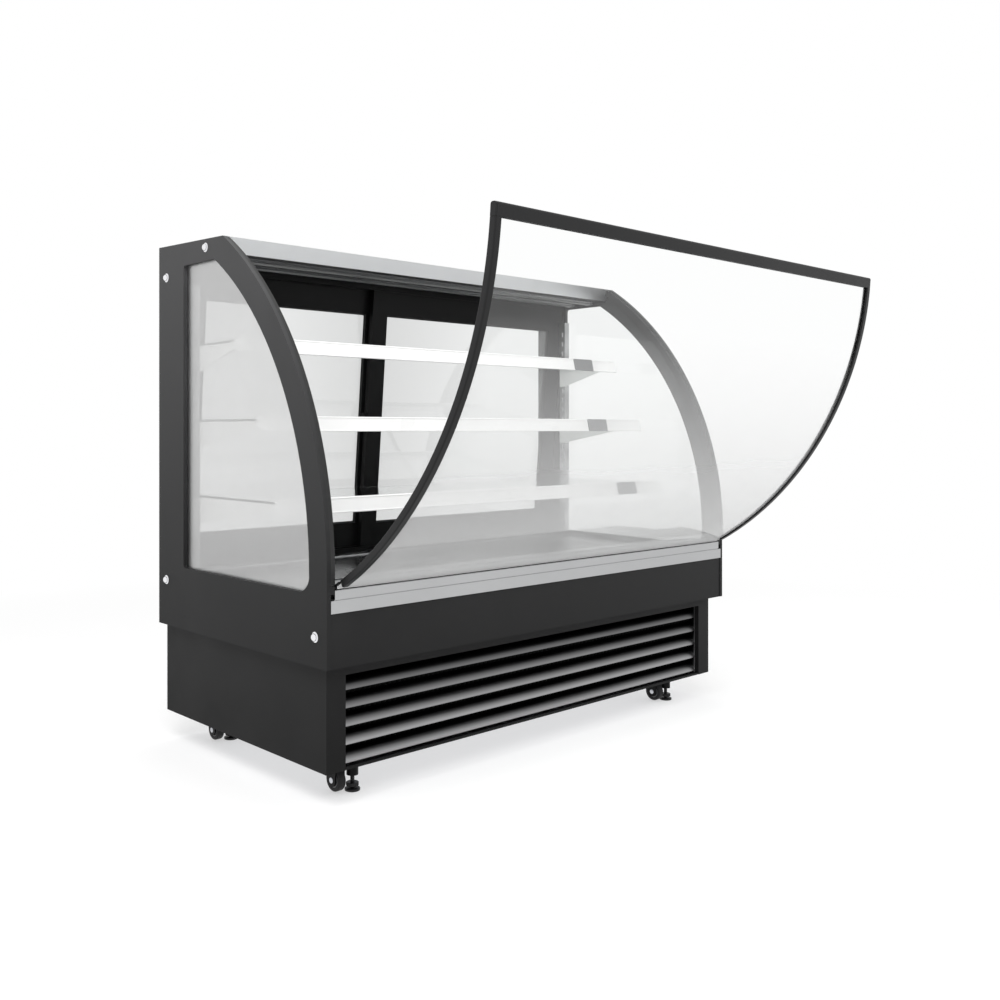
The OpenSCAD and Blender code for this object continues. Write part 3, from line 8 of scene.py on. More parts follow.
import bmesh
import bpy
import numpy as np
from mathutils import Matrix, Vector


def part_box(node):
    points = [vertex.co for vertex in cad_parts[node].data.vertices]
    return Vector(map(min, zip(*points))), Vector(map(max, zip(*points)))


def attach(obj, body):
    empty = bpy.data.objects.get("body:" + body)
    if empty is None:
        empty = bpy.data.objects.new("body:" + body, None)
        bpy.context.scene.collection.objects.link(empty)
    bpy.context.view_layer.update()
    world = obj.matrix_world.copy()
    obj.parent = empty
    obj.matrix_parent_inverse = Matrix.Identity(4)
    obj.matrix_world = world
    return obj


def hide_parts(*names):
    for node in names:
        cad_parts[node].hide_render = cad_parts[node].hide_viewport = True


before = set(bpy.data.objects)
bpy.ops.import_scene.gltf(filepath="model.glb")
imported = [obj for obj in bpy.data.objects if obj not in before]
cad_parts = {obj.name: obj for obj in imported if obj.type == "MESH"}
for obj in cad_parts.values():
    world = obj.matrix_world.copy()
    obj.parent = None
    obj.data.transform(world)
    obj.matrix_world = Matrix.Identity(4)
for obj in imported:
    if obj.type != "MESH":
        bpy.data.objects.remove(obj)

log = logging.getLogger("display_case")
MM = 0.001
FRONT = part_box("end_panel_left")[0].y
CORNERS = ("front_left", "front_right", "rear_left", "rear_right")
Corner = tuple[float, float]
Place = tuple[float, float, float]
Colour = tuple[float, float, float]
Socket = bpy.types.NodeSocket


def metres(points: np.ndarray) -> np.ndarray:
    """Turns millimetres from the case's middle, front edge and floor into the frame's metres.

    Args:
        points: An array whose last axis holds x, depth and height in millimetres.

    Returns:
        The same points in metres, with the depth counted from the frame's origin.
    """
    return np.asarray(points, float) * MM + np.array([0.0, FRONT, 0.0])


def box_mm(node: str) -> tuple[np.ndarray, np.ndarray]:
    """Reads where a node is.

    Args:
        node: The node's name.

    Returns:
        Its lowest and highest corners in millimetres, with depths from the front edge.
    """
    low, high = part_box(node)
    shift = np.array([0.0, FRONT, 0.0])
    return (np.array(low) - shift) / MM, (np.array(high) - shift) / MM


class Slot(Enum):
    """The record's material slots."""

    CHARCOAL = "charcoal_paint"
    BLACK = "black_paint"
    WHITE = "white_paint"
    SATIN = "satin_aluminium"
    COIL = "coil_aluminium"
    STAINLESS = "stainless"
    ZINC = "zinc_steel"
    CHROME = "chrome"
    GLASS = "clear_glass"
    BLACK_PLASTIC = "black_plastic"
    GLOSS_BLACK = "gloss_black"
    WHITE_PLASTIC = "white_plastic"
    GREY_PLASTIC = "grey_plastic"
    FOAM = "foam_liner"
    SEAL = "seal_rubber"
    TYRE = "wheel_rubber"
    COPPER = "copper"


class Grain(Enum):
    """How a finish's fine relief runs, in waves per metre on each axis."""

    ORANGE_PEEL = (900.0, 900.0, 900.0)
    FINE_MATT = (2400.0, 2400.0, 2400.0)
    BRUSHED_X = (9.0, 1500.0, 1500.0)
    BRUSHED_ROUND = (260.0, 260.0, 260.0)
    ROLLER_WAVE = (3.0, 7.0, 5.0)


class Graph:
    """Short-hand for building the node tree of a material or of the surround."""

    MIX_FIRST, MIX_SECOND, MIX_RESULT = 6, 7, 2

    def __init__(self, holder: bpy.types.ID, output: str = "OutputMaterial") -> None:
        """Empties the tree of a material or a world and adds its output node.

        Args:
            holder: The material or world.
            output: The output node's type without its ShaderNode prefix.
        """
        self.holder = holder
        holder.use_nodes = True
        self.tree = holder.node_tree
        self.tree.nodes.clear()
        self.output = self.node(output)

    def node(self, kind: str, **values: object) -> bpy.types.Node:
        """Adds a node and sets its properties and the default values of its inputs.

        Args:
            kind: The node's type without its ShaderNode prefix.
            values: Properties by name, or inputs by name with underscores for spaces.

        Returns:
            The new node.
        """
        made = self.tree.nodes.new("ShaderNode" + kind)
        for key, value in values.items():
            if hasattr(made, key):
                setattr(made, key, value)
            else:
                made.inputs[key.replace("_", " ")].default_value = value
        return made

    def link(self, source: Socket, target: Socket) -> None:
        """Connects two sockets."""
        self.tree.links.new(source, target)

    def noise(self, scale: Sequence[float], detail: float) -> Socket:
        """Adds noise on the object's own coordinates.

        Args:
            scale: Waves per metre on each axis.
            detail: How many finer layers the noise has.

        Returns:
            The noise, which lies mostly between 0.3 and 0.7.
        """
        made = self.node("TexNoise", Scale=1.0, Detail=detail)
        where = self.node("TexCoord")
        mapping = self.node("Mapping", Scale=tuple(scale))
        self.link(where.outputs["Object"], mapping.inputs["Vector"])
        self.link(mapping.outputs["Vector"], made.inputs["Vector"])
        return made.outputs["Fac"]

    def along(self, axis: str) -> Socket:
        """Adds one object coordinate.

        Args:
            axis: X, Y or Z.

        Returns:
            The coordinate in metres.
        """
        where = self.node("TexCoord")
        split = self.node("SeparateXYZ")
        self.link(where.outputs["Object"], split.inputs["Vector"])
        return split.outputs[axis]

    def ranged(self, source: Socket, low: float, high: float, start: float = 0.3, end: float = 0.7) -> Socket:
        """Maps start to end of a value onto low to high, and holds it there beyond them.

        Args:
            source: The value.
            low: What start becomes.
            high: What end becomes.
            start: The value's first place.
            end: The value's last place.

        Returns:
            The mapped value.
        """
        made = self.node("MapRange", From_Min=start, From_Max=end, To_Min=low, To_Max=high)
        self.link(source, made.inputs["Value"])
        return made.outputs["Result"]

    def blended(self, factor: Socket, first: Colour, second: Colour) -> Socket:
        """Blends two colours.

        Args:
            factor: The share of the second colour.
            first: The colour at 0.
            second: The colour at 1.

        Returns:
            The blended colour.
        """
        made = self.node("Mix", data_type="RGBA")
        made.inputs[self.MIX_FIRST].default_value = (*first, 1)
        made.inputs[self.MIX_SECOND].default_value = (*second, 1)
        self.link(factor, made.inputs["Factor"])
        return made.outputs[self.MIX_RESULT]

    def bump(self, height: Socket, strength: float, distance: float) -> Socket:
        """Turns a height into a normal.

        Args:
            height: The height, from 0 to 1.
            strength: The share of the bump that shows.
            distance: The relief's depth in metres.

        Returns:
            The normal.
        """
        made = self.node("Bump", Strength=strength, Distance=distance)
        self.link(height, made.inputs["Height"])
        return made.outputs["Normal"]

    def product(self, first: Socket, second: Socket, kind: str = "Math") -> Socket:
        """Multiplies two values, or with VectorMath a colour by a value.

        Args:
            first: The value or colour.
            second: The value to multiply by.
            kind: Math or VectorMath.

        Returns:
            The product.
        """
        made = self.node(kind, operation="MULTIPLY")
        self.link(first, made.inputs[0])
        self.link(second, made.inputs[1])
        return made.outputs[0]

    def largest(self, first: Socket, *others: Socket) -> Socket:
        """Finds the largest of several values.

        Args:
            first: The first value.
            others: The other values.

        Returns:
            The largest one.
        """
        for other in others:
            made = self.node("Math", operation="MAXIMUM")
            self.link(first, made.inputs[0])
            self.link(other, made.inputs[1])
            first = made.outputs[0]
        return first

    def mixed(self, share: Socket, first: Socket, second: Socket) -> Socket:
        """Mixes two shaders.

        Args:
            share: The share of the second shader.
            first: The shader at 0.
            second: The shader at 1.

        Returns:
            The mixed shader.
        """
        made = self.node("MixShader")
        for source, target in zip((share, first, second), made.inputs):
            self.link(source, target)
        return made.outputs[0]

    def surfaced(self, shader: Socket) -> bpy.types.ID:
        """Joins the last shader to the output and gives back what was built."""
        self.link(shader, self.output.inputs["Surface"])
        return self.holder


@dataclass(frozen=True)
class PaintedShading:
    """Painted light and shade: how a colour changes along an axis, one share of it at a start, another at an end."""

    axis: str
    start: float
    start_share: float
    end: float
    end_share: float

    def scaled(self, graph: Graph, colour: Socket) -> Socket:
        """Multiplies a colour by its share at each place.

        Args:
            graph: The material's graph.
            colour: The colour.

        Returns:
            The scaled colour.
        """
        share = graph.ranged(graph.along(self.axis), self.start_share, self.end_share, self.start, self.end)
        return graph.product(colour, share, "VectorMath")


@dataclass(frozen=True)
class Finish:
    """A solid finish: its colour, how it shines and its fine relief."""

    name: str
    slot: Slot
    colour: Colour
    roughness: float = 0.5
    metallic: float = 0.0
    specular: float = 0.5
    grain: Grain = Grain.FINE_MATT
    relief: float = 0.12
    relief_depth: float = 0.0001
    shade: float = 0.10
    patch: float = 6.0
    spread: float = 0.06
    falls: tuple[PaintedShading, ...] = ()

    def material(self) -> bpy.types.Material:
        """Builds the node material.

        The colour drifts between two shades in soft patches and is scaled by each fall of painted
        light and shade along its axis. The roughness follows the same patches, and the relief is noise
        stretched by the grain.

        Returns:
            The material.
        """
        graph = Graph(bpy.data.materials.new(self.name))
        shader = graph.node("BsdfPrincipled", Metallic=self.metallic, Specular_IOR_Level=self.specular)
        patches = graph.noise((self.patch,) * 3, 3.0)
        low = tuple(c * (1 - self.shade) for c in self.colour)
        high = tuple(min(1.0, c * (1 + self.shade)) for c in self.colour)
        colour = graph.blended(graph.ranged(patches, 0, 1), low, high)
        # Each fall is painted light and shade along one axis.
        for fall in self.falls:
            colour = fall.scaled(graph, colour)
        graph.link(colour, shader.inputs["Base Color"])
        rough = graph.ranged(patches, self.roughness - self.spread, self.roughness + self.spread)
        graph.link(rough, shader.inputs["Roughness"])
        relief = graph.noise(self.grain.value, 2.0)
        graph.link(graph.bump(relief, self.relief, self.relief_depth), shader.inputs["Normal"])
        return graph.surfaced(shader.outputs[0])


@dataclass(frozen=True)
class Painted(Finish):
    """Powder coat or paint, with the fine swell of an orange's skin."""

    grain: Grain = Grain.ORANGE_PEEL
    relief_depth: float = 0.0002


@dataclass(frozen=True)
class Metal(Finish):
    """Bare metal with an even grain."""

    metallic: float = 1.0
    grain: Grain = Grain.BRUSHED_ROUND


@dataclass(frozen=True)
class Brushed(Metal):
    """Bare metal brushed along the case."""

    grain: Grain = Grain.BRUSHED_X
    relief: float = 0.04
    relief_depth: float = 0.00008
    shade: float = 0.04


@dataclass(frozen=True)
class LitPlastic(Finish):
    """Moulded plastic that glows softly, as a display's figures do."""

    glow: float = 0.6

    def material(self) -> bpy.types.Material:
        """Gives the solid finish an emission of its own colour.

        Returns:
            The material.
        """
        made = super().material()
        shader = next(n for n in made.node_tree.nodes if n.type == "BSDF_PRINCIPLED")
        shader.inputs["Emission Color"].default_value = (*self.colour, 1)
        shader.inputs["Emission Strength"].default_value = self.glow
        return made


@dataclass(frozen=True)
class PaintedShadeBand:
    """A band of painted shade on glass: a share of the tint within a core about one x, the full tint at a reach."""

    middle: float
    core: float
    reach: float
    share: float

    def tint(self, graph: Graph, colour: Colour) -> Socket:
        """Blends the band's tint into the full one by the distance from its middle.

        Args:
            graph: The material's graph.
            colour: The full tint.

        Returns:
            The tint at each place.
        """
        away = graph.node("Math", operation="SUBTRACT")
        away.inputs[1].default_value = self.middle
        graph.link(graph.along("X"), away.inputs[0])
        far = graph.node("Math", operation="ABSOLUTE")
        graph.link(away.outputs[0], far.inputs[0])
        low = tuple(c * self.share for c in colour)
        return graph.blended(graph.ranged(far.outputs[0], 0.0, 1.0, self.core, self.reach), low, colour)


@dataclass(frozen=True)
class Glazing(Finish):
    """Clear glass whose colour is its tint, with an optional painted reflection and an optional band of painted
    shade.

    The painted reflection holds its full share at one height and beyond it, and has gone at another.
    """

    grain: Grain = Grain.ROLLER_WAVE
    relief: float = 0.015
    relief_depth: float = 0.0004
    ior: float = 1.5
    painted_reflection_share: float = 0.0
    painted_reflection_z: float = 0.5
    clear_z: float = 1.2
    painted_reflection: float = 0.93
    mirrored: bool = False
    band: PaintedShadeBand | None = None

    def material(self) -> bpy.types.Material:
        """Builds glass that lets lamp rays through.

        Light from lamps and from dull surfaces passes straight. Other rays meet a
        smooth transmitting shader whose normal wavers as toughened glass does.

        Returns:
            The material.
        """
        graph = Graph(bpy.data.materials.new(self.name))
        tint = (*self.colour, 1)
        shader = graph.node("BsdfPrincipled", Roughness=0.0, IOR=self.ior, Base_Color=tint,
                            Transmission_Weight=1.0)
        # Painted shade: the tint is darker in a band about one x.
        if self.band:
            graph.link(self.band.tint(graph, self.colour), shader.inputs["Base Color"])
        wave = graph.noise(self.grain.value, 1.0)
        graph.link(graph.bump(wave, self.relief, self.relief_depth), shader.inputs["Normal"])
        surface = shader.outputs[0]
        # Painted reflection: a pale sheet or a glossy layer whose share is set by height.
        if self.painted_reflection_share:
            surface = self.with_painted_reflection(graph, surface)
        clear = graph.node("BsdfTransparent", Color=tint)
        path = graph.node("LightPath")
        straight = graph.largest(path.outputs["Is Shadow Ray"], path.outputs["Is Diffuse Ray"])
        return graph.surfaced(graph.mixed(straight, surface, clear.outputs[0]))

    def with_painted_reflection(self, graph: Graph, glass: Socket) -> Socket:
        """Lays a painted reflection on the glass: a dull pale sheet, or where mirrored a soft glossy layer.

        Args:
            graph: The material's graph.
            glass: The glass's shader.

        Returns:
            The glass's shader with the painted reflection.
        """
        painted_reflection = graph.node("BsdfGlossy", Roughness=0.35) if self.mirrored else graph.node("BsdfDiffuse")
        painted_reflection.inputs["Color"].default_value = (self.painted_reflection, self.painted_reflection, self.painted_reflection, 1)
        drift = graph.ranged(graph.noise((5.0, 5.0, 5.0), 3.0), 0.97, 1.03)
        # The painted reflection's share by height.
        depth = graph.ranged(graph.along("Z"), self.painted_reflection_share, 0.0, self.painted_reflection_z, self.clear_z)
        return graph.mixed(graph.product(depth, drift), glass, painted_reflection.outputs[0])


# Painted light and shade: the charcoal is darker towards the bottom and lighter towards the top, as lamps from above
# would light it.
CHARCOAL = Painted("charcoal_powder_coat_painted_shading", Slot.CHARCOAL, (0.031, 0.031, 0.0316), 0.50, specular=0.11,
                   relief=0.22, relief_depth=0.00025, falls=(PaintedShading("Z", 0.1, 0.34, 1.15, 1.75),))
BLACK_PAINT = Painted("satin_black_paint", Slot.BLACK, (0.004, 0.004, 0.0043), 0.40, specular=0.15)
WHITE_PAINT = Painted("white_powder_coat", Slot.WHITE, (0.80, 0.80, 0.79), 0.42, relief=0.14, shade=0.03)
# Painted shade: the upper blades are darker, and each blade darkens towards its back where the blade above shades
# it.
SLAT_METAL = Brushed("louvre_gunmetal_painted_shade", Slot.BLACK, (0.34, 0.34, 0.345), 0.36,
                     falls=(PaintedShading("Z", 0.13, 1.0, 0.255, 0.34),
                            PaintedShading("Y", FRONT + 0.0442, 1.0, FRONT + 0.0505, 0.28),
                            PaintedShading("Y", FRONT + 0.0442, 1.0, FRONT + 0.056, 0.10)))
SATIN = Brushed("satin_anodised", Slot.SATIN, (0.78, 0.79, 0.80), 0.40, relief=0.0, shade=0.03, spread=0.04)
TRIM = Brushed("brushed_trim", Slot.SATIN, (0.48, 0.485, 0.49), 0.34, shade=0.03, spread=0.04)
LAMP_METAL = Brushed("lamp_housing", Slot.SATIN, (0.20, 0.20, 0.205), 0.42, relief=0.06)
STAINLESS = Brushed("brushed_stainless", Slot.STAINLESS, (0.46, 0.465, 0.47), 0.24, spread=0.05)
COIL = Metal("mill_finish_fins", Slot.COIL, (0.62, 0.63, 0.65), 0.36, relief=0.2, shade=0.07)
ZINC = Metal("bright_zinc", Slot.ZINC, (0.52, 0.53, 0.56), 0.34, relief=0.16, shade=0.12, patch=30.0)
UPRIGHT_ZINC = Metal("slotted_upright", Slot.WHITE, (0.40, 0.405, 0.41), 0.36, relief=0.10, shade=0.35,
                     patch=14.0)
CHROME = Metal("polished_chrome", Slot.CHROME, (0.86, 0.86, 0.88), 0.08, relief=0.03, shade=0.02,
               spread=0.03)
COPPER = Metal("bare_copper", Slot.COPPER, (0.74, 0.36, 0.22), 0.26, relief=0.1, shade=0.14, patch=24.0)
BLACK_PLASTIC = Finish("matt_black_plastic", Slot.BLACK_PLASTIC, (0.008, 0.008, 0.0085), 0.42,
                       relief=0.16, specular=0.28)
INK_PLASTIC = Finish("deep_black_plastic", Slot.BLACK_PLASTIC, (0.006, 0.006, 0.0062), 0.36,
                     relief=0.14, specular=0.10)
GLOSS_BLACK = Finish("gloss_black_plastic", Slot.GLOSS_BLACK, (0.010, 0.010, 0.011), 0.14, relief=0.04)
WHITE_PLASTIC = Finish("white_label_bar", Slot.WHITE_PLASTIC, (0.84, 0.84, 0.835), 0.32, relief=0.06,
                       shade=0.02)
LENS = Finish("frosted_lens", Slot.WHITE_PLASTIC, (0.15, 0.15, 0.152), 0.35, relief=0.05, shade=0.03)
DIGITS = LitPlastic("lit_digits", Slot.WHITE_PLASTIC, (0.75, 0.12, 0.06), 0.4, relief=0.05, glow=1.2)
GREY_PLASTIC = Finish("grey_plastic", Slot.GREY_PLASTIC, (0.15, 0.153, 0.157), 0.44, relief=0.16)
FOAM = Finish("pale_liner", Slot.FOAM, (0.74, 0.75, 0.76), 0.38, relief=0.10, grain=Grain.ORANGE_PEEL,
              shade=0.03)
SEAL = Finish("seal_rubber", Slot.SEAL, (0.016, 0.016, 0.016), 0.58, relief=0.2)
TYRE = Finish("wheel_rubber", Slot.TYRE, (0.014, 0.014, 0.0145), 0.62, relief=0.25, specular=0.25)
FILTER = Finish("filter_mat", Slot.BLACK_PLASTIC, (0.004, 0.004, 0.004), 0.85, relief=0.6, specular=0.1,
                relief_depth=0.0006)
CLEAR = Glazing("clear_glass", Slot.GLASS, (0.975, 0.985, 0.98))
# Painted reflection: a glossy layer on the end glass, stronger towards the top.
END_GLASS = Glazing("end_glass", Slot.GLASS, (0.985, 0.99, 0.988), painted_reflection_share=0.55, painted_reflection_z=1.2,
                    clear_z=-0.9, painted_reflection=0.78, mirrored=True)
# Painted shade: the door panes are darker in a band near the doors' meeting stiles.
PANE_GLASS = Glazing("door_glass", Slot.GLASS, (0.86, 0.868, 0.864), band=PaintedShadeBand(-0.085, 0.03, 0.45, 0.80))
# Painted reflection: a pale sheet over the lower screen, gone towards the top.
SCREEN_GLASS = Glazing("front_screen_glass", Slot.GLASS, (0.985, 0.99, 0.988), ior=1.45, painted_reflection_share=0.46,
                       painted_reflection_z=0.45, clear_z=0.98)
SHELF_GLASS = Glazing("shelf_glass", Slot.GLASS, (0.955, 0.975, 0.968), relief_depth=0.0003)

NODE_FINISHES: dict[str, Finish] = {
    "end_panel_left": CHARCOAL, "end_panel_right": CHARCOAL, "base_shell": CHARCOAL,
    "rear_cover": CHARCOAL, "front_panel": CHARCOAL,
    "end_glass_left": END_GLASS, "end_glass_right": CLEAR,
    "pane_left": PANE_GLASS, "pane_right": PANE_GLASS,
    "glass_seals": SEAL, "base_floor": ZINC, "well": FOAM, "deck_trays": STAINLESS,
    "air_sill": TRIM, "front_trim": TRIM, "hinge_blocks": BLACK_PLASTIC,
    "canopy_cover": SATIN, "canopy_band": SATIN, "canopy_liner": BLACK_PAINT, "canopy_lamps": LAMP_METAL,
    "door_frame": INK_PLASTIC, "door_left": INK_PLASTIC, "door_right": INK_PLASTIC,
    "uprights": UPRIGHT_ZINC, "brackets": WHITE_PAINT,
    "label_bars": WHITE_PLASTIC, "power_blocks": GREY_PLASTIC,
    "evaporator": COIL, "evaporator_fan": BLACK_PLASTIC,
    "condenser": COIL, "condenser_fan": BLACK_PLASTIC,
    "compressor": BLACK_PAINT, "pipework": COPPER, "drain_tray": GREY_PLASTIC,
    "controller": GLOSS_BLACK, "light_switch": GLOSS_BLACK, "power_switch": GLOSS_BLACK,
    "cable_gland": BLACK_PLASTIC, "caster_plates": ZINC,
}


@dataclass
class Shell:
    """A closed surface: points in millimetres, quads, and end caps."""

    points: np.ndarray
    quads: np.ndarray
    caps: list[list[int]] = field(default_factory=list)

    @classmethod
    def joined(cls, shells: Sequence["Shell"]) -> "Shell":
        """Puts several shells into one, each one's indices moved past the points before it.

        Args:
            shells: The shells.

        Returns:
            The joined shell.
        """
        starts = np.cumsum([0] + [len(s.points) for s in shells])
        return cls(
            np.concatenate([s.points for s in shells]),
            np.concatenate([s.quads + a for s, a in zip(shells, starts)]),
            [[int(a) + i for i in cap] for s, a in zip(shells, starts) for cap in s.caps],
        )

    def mirrored(self) -> "Shell":
        """The shell on the other side of the case's middle."""
        return Shell(self.points * np.array([-1, 1, 1]), self.quads, self.caps)

    def both_ends(self) -> list["Shell"]:
        """The shell and its mirror image."""
        return [self, self.mirrored()]


def loft(rings: np.ndarray, looped: bool = False) -> Shell:
    """Joins rings of points into a tube.

    Point j of ring i meets point j + 1 of the same ring and both of ring i + 1. An
    open tube is capped by its first and last ring, a looped one meets itself.

    Args:
        rings: Stations by points by three coordinates.
        looped: Whether the last ring meets the first.

    Returns:
        The closed shell.
    """
    stations, count = rings.shape[:2]
    i = np.arange(stations if looped else stations - 1)[:, None]
    j = np.arange(count)[None, :]
    here, there = i * count, (i + 1) % stations * count
    after = (j + 1) % count
    quads = np.stack([here + j, here + after, there + after, there + j], -1).reshape(-1, 4)
    last = (stations - 1) * count
    caps = [] if looped else [list(range(count))[::-1], list(range(last, last + count))]
    return Shell(rings.reshape(-1, 3), quads, caps)


def rectangle(low: Corner, high: Corner) -> list[Corner]:
    """The four corners of a rectangle, from its lowest one and its highest one."""
    return [(low[0], low[1]), (high[0], low[1]), (high[0], high[1]), (low[0], high[1])]


def corner_curve(before: np.ndarray, corner: np.ndarray, after: np.ndarray, steps: int) -> np.ndarray:
    """Rounds corners c between points a before and b after: (1-t)^2 a + 2t(1-t) c + t^2 b.

    Args:
        before: The points a.
        corner: The corners c.
        after: The points b.
        steps: Spans in each rounded corner.

    Returns:
        Corners by steps + 1 by coordinates.
    """
    t = np.linspace(0, 1, steps + 1)[None, :, None]
    return (1 - t) ** 2 * before[:, None] + 2 * t * (1 - t) * corner[:, None] + t**2 * after[:, None]


def softened(corners: Sequence[Corner], radius: float | Sequence[float], steps: int = 4) -> np.ndarray:
    """Rounds the corners of an outline by corner_curve.

    The curve starts and ends a radius before and after the corner, but no further
    than 0.45 of the side.

    Args:
        corners: The outline's corners in order.
        radius: One reach for all corners, or one for each.
        steps: Spans in each rounded corner.

    Returns:
        The rounded outline, corners times steps + 1 points.
    """
    here = np.asarray(corners, float)
    reach = np.broadcast_to(np.asarray(radius, float), (len(here),))[:, None]
    back, ahead = np.roll(here, 1, 0) - here, np.roll(here, -1, 0) - here
    back_l, ahead_l = (np.linalg.norm(v, axis=1, keepdims=True) for v in (back, ahead))
    a = here + back / back_l * np.minimum(reach, 0.45 * back_l)
    b = here + ahead / ahead_l * np.minimum(reach, 0.45 * ahead_l)
    return corner_curve(a, here, b, steps).reshape(-1, 2)


def smooth_path(points: Sequence[Sequence[float]], reach: float, steps: int = 6) -> np.ndarray:
    """Rounds the inner corners of a route of straight runs by corner_curve.

    Args:
        points: The route's points.
        reach: How far before and after a corner its curve starts and ends.
        steps: Spans in each rounded corner.

    Returns:
        The route's points with the rounded corners.
    """
    here = np.asarray(points, float)
    inner = here[1:-1]
    back, ahead = here[:-2] - inner, here[2:] - inner
    a = inner + back / np.linalg.norm(back, axis=1, keepdims=True) * reach
    b = inner + ahead / np.linalg.norm(ahead, axis=1, keepdims=True) * reach
    return np.concatenate([here[:1], corner_curve(a, inner, b, steps).reshape(-1, 3), here[-1:]])


def inset(outline: np.ndarray, distance: np.ndarray) -> np.ndarray:
    """Moves an outline inward along its normals, once for each distance.

    Args:
        outline: Points by two coordinates.
        distance: How far to move, one number for each copy.

    Returns:
        Copies by points by two coordinates.
    """
    along = np.roll(outline, -1, 0) - np.roll(outline, 1, 0)
    along /= np.maximum(np.linalg.norm(along, axis=1, keepdims=True), 1e-9)
    area = np.sum(outline[:, 0] * np.roll(outline[:, 1], -1) - outline[:, 1] * np.roll(outline[:, 0], -1))
    inward = np.stack([-along[:, 1], along[:, 0]], 1) * np.sign(area)
    return outline[None] + inward[None] * np.asarray(distance)[:, None, None]


def rim(path: np.ndarray, grow: np.ndarray, depth: np.ndarray) -> np.ndarray:
    """Carries a section round a path in the plane of x and height.

    Section point k lies grow(k) outside the path, at depth(k).

    Args:
        path: Points by x and height.
        grow: How far outside the path each section point lies.
        depth: Each section point's depth.

    Returns:
        Section points by path points by three coordinates.
    """
    rings = inset(path, -grow)
    return np.stack([rings[..., 0], np.broadcast_to(depth[:, None], rings.shape[:2]), rings[..., 1]], -1)


def eased(start: float, end: float, ease: float, steps: int = 3) -> tuple[np.ndarray, np.ndarray]:
    """Places stations along a bar whose ends are rounded.

    The end follows a quarter circle: at angle a the station lies ease(1 - cos a) inside
    the end and the outline is drawn in by ease(1 - sin a).

    Args:
        start: Where the bar begins.
        end: Where it ends.
        ease: The radius of its ends.
        steps: Spans in each end.

    Returns:
        The stations, and how far the outline is drawn in at each.
    """
    a = np.linspace(0, math.pi / 2, steps + 1)
    into, drawn = ease * (1 - np.cos(a)), ease * (1 - np.sin(a))
    return (np.concatenate([start + into, (end - into)[::-1]]),
            np.concatenate([drawn, drawn[::-1]]))


def bar_along(axis: int, outline: np.ndarray, start: float, end: float, ease: float = 0.8) -> Shell:
    """Carries an outline straight along an axis, with eased ends.

    Args:
        axis: 0 for x with an outline of depth and height, 1 for y with x and height,
            2 for z with x and depth.
        outline: The section.
        start: Where the bar begins.
        end: Where it ends.
        ease: The rounding of its ends.

    Returns:
        The bar.
    """
    stations, drawn = eased(start, end, ease)
    sections = inset(outline, drawn)
    rings = np.empty((*sections.shape[:2], 3))
    others = [i for i in range(3) if i != axis]
    rings[..., others[0]], rings[..., others[1]] = sections[..., 0], sections[..., 1]
    rings[..., axis] = stations[:, None]
    return loft(rings)


def block(low: Sequence[float], high: Sequence[float], axis: int = 0, soft: float = 1.0) -> Shell:
    """Makes a rounded bar between two corners: a softened rectangle carried along an axis.

    Args:
        low: The lowest corner.
        high: The highest corner.
        axis: 0, 1 or 2 for x, y or z.
        soft: The rounding of its edges.

    Returns:
        The bar.
    """
    a, b = (i for i in range(3) if i != axis)
    outline = softened(rectangle((low[a], low[b]), (high[a], high[b])), soft, 3)
    return bar_along(axis, outline, low[axis], high[axis], min(soft, (high[axis] - low[axis]) / 3))


def plates(lows: np.ndarray, highs: np.ndarray) -> Shell:
    """Makes many thin plates at once: each of a plate's eight points takes its low or high coordinates.

    Args:
        lows: The plates' lowest corners.
        highs: Their highest corners.

    Returns:
        All the plates as one shell.
    """
    pick = np.array([[0, 0, 0], [1, 0, 0], [1, 1, 0], [0, 1, 0], [0, 0, 1], [1, 0, 1], [1, 1, 1], [0, 1, 1]])
    points = lows[:, None] * (1 - pick) + highs[:, None] * pick
    sides = np.array([[0, 3, 2, 1], [4, 5, 6, 7], [0, 1, 5, 4], [1, 2, 6, 5], [2, 3, 7, 6], [3, 0, 4, 7]])
    quads = (np.arange(len(lows)) * len(pick))[:, None, None] + sides[None]
    return Shell(points.reshape(-1, 3), quads.reshape(-1, 4))


def turned(profile: Sequence[Corner], centre: Sequence[float], axis: int, steps: int = 48) -> Shell:
    """Turns a profile about an axis through a point.

    The point at angle a and profile step k lies at centre + axis * l(k) + r(k) (cos a, sin a).

    Args:
        profile: Pairs of distance along the axis and radius, from one end to the other.
        centre: A point on the axis.
        axis: 0, 1 or 2 for x, y or z.
        steps: Spans round the axis.

    Returns:
        The turned shell.
    """
    along, radius = np.asarray(profile, float).T
    angle = np.linspace(0, 2 * math.pi, steps, endpoint=False)
    rings = np.empty((len(along), steps, 3))
    a, b = (i for i in range(3) if i != axis)
    rings[..., axis] = along[:, None]
    rings[..., a] = radius[:, None] * np.cos(angle)
    rings[..., b] = radius[:, None] * np.sin(angle)
    return loft(rings + np.asarray(centre, float))


def wire(path: np.ndarray, radius: float, sides: int = 8, looped: bool = False) -> Shell:
    """Makes a round wire along a path: at each point a circle square to the path's direction.

    The circle's first arm is the direction crossed with a slanted vector that no path
    here runs along, and its second is that arm crossed with the direction.

    Args:
        path: Points in order.
        radius: The wire's radius.
        sides: Points round the wire.
        looped: Whether the path closes on itself.

    Returns:
        The wire.
    """
    if looped:
        along = np.roll(path, -1, 0) - np.roll(path, 1, 0)
    else:
        along = np.gradient(path, axis=0)
    along /= np.linalg.norm(along, axis=1, keepdims=True)
    side = np.cross(along, np.array([0.29, 0.17, 0.94]))
    side /= np.linalg.norm(side, axis=1, keepdims=True)
    up = np.cross(side, along)
    angle = np.linspace(0, 2 * math.pi, sides, endpoint=False)[None, :, None]
    return loft(path[:, None] + radius * (side[:, None] * np.cos(angle) + up[:, None] * np.sin(angle)), looped)


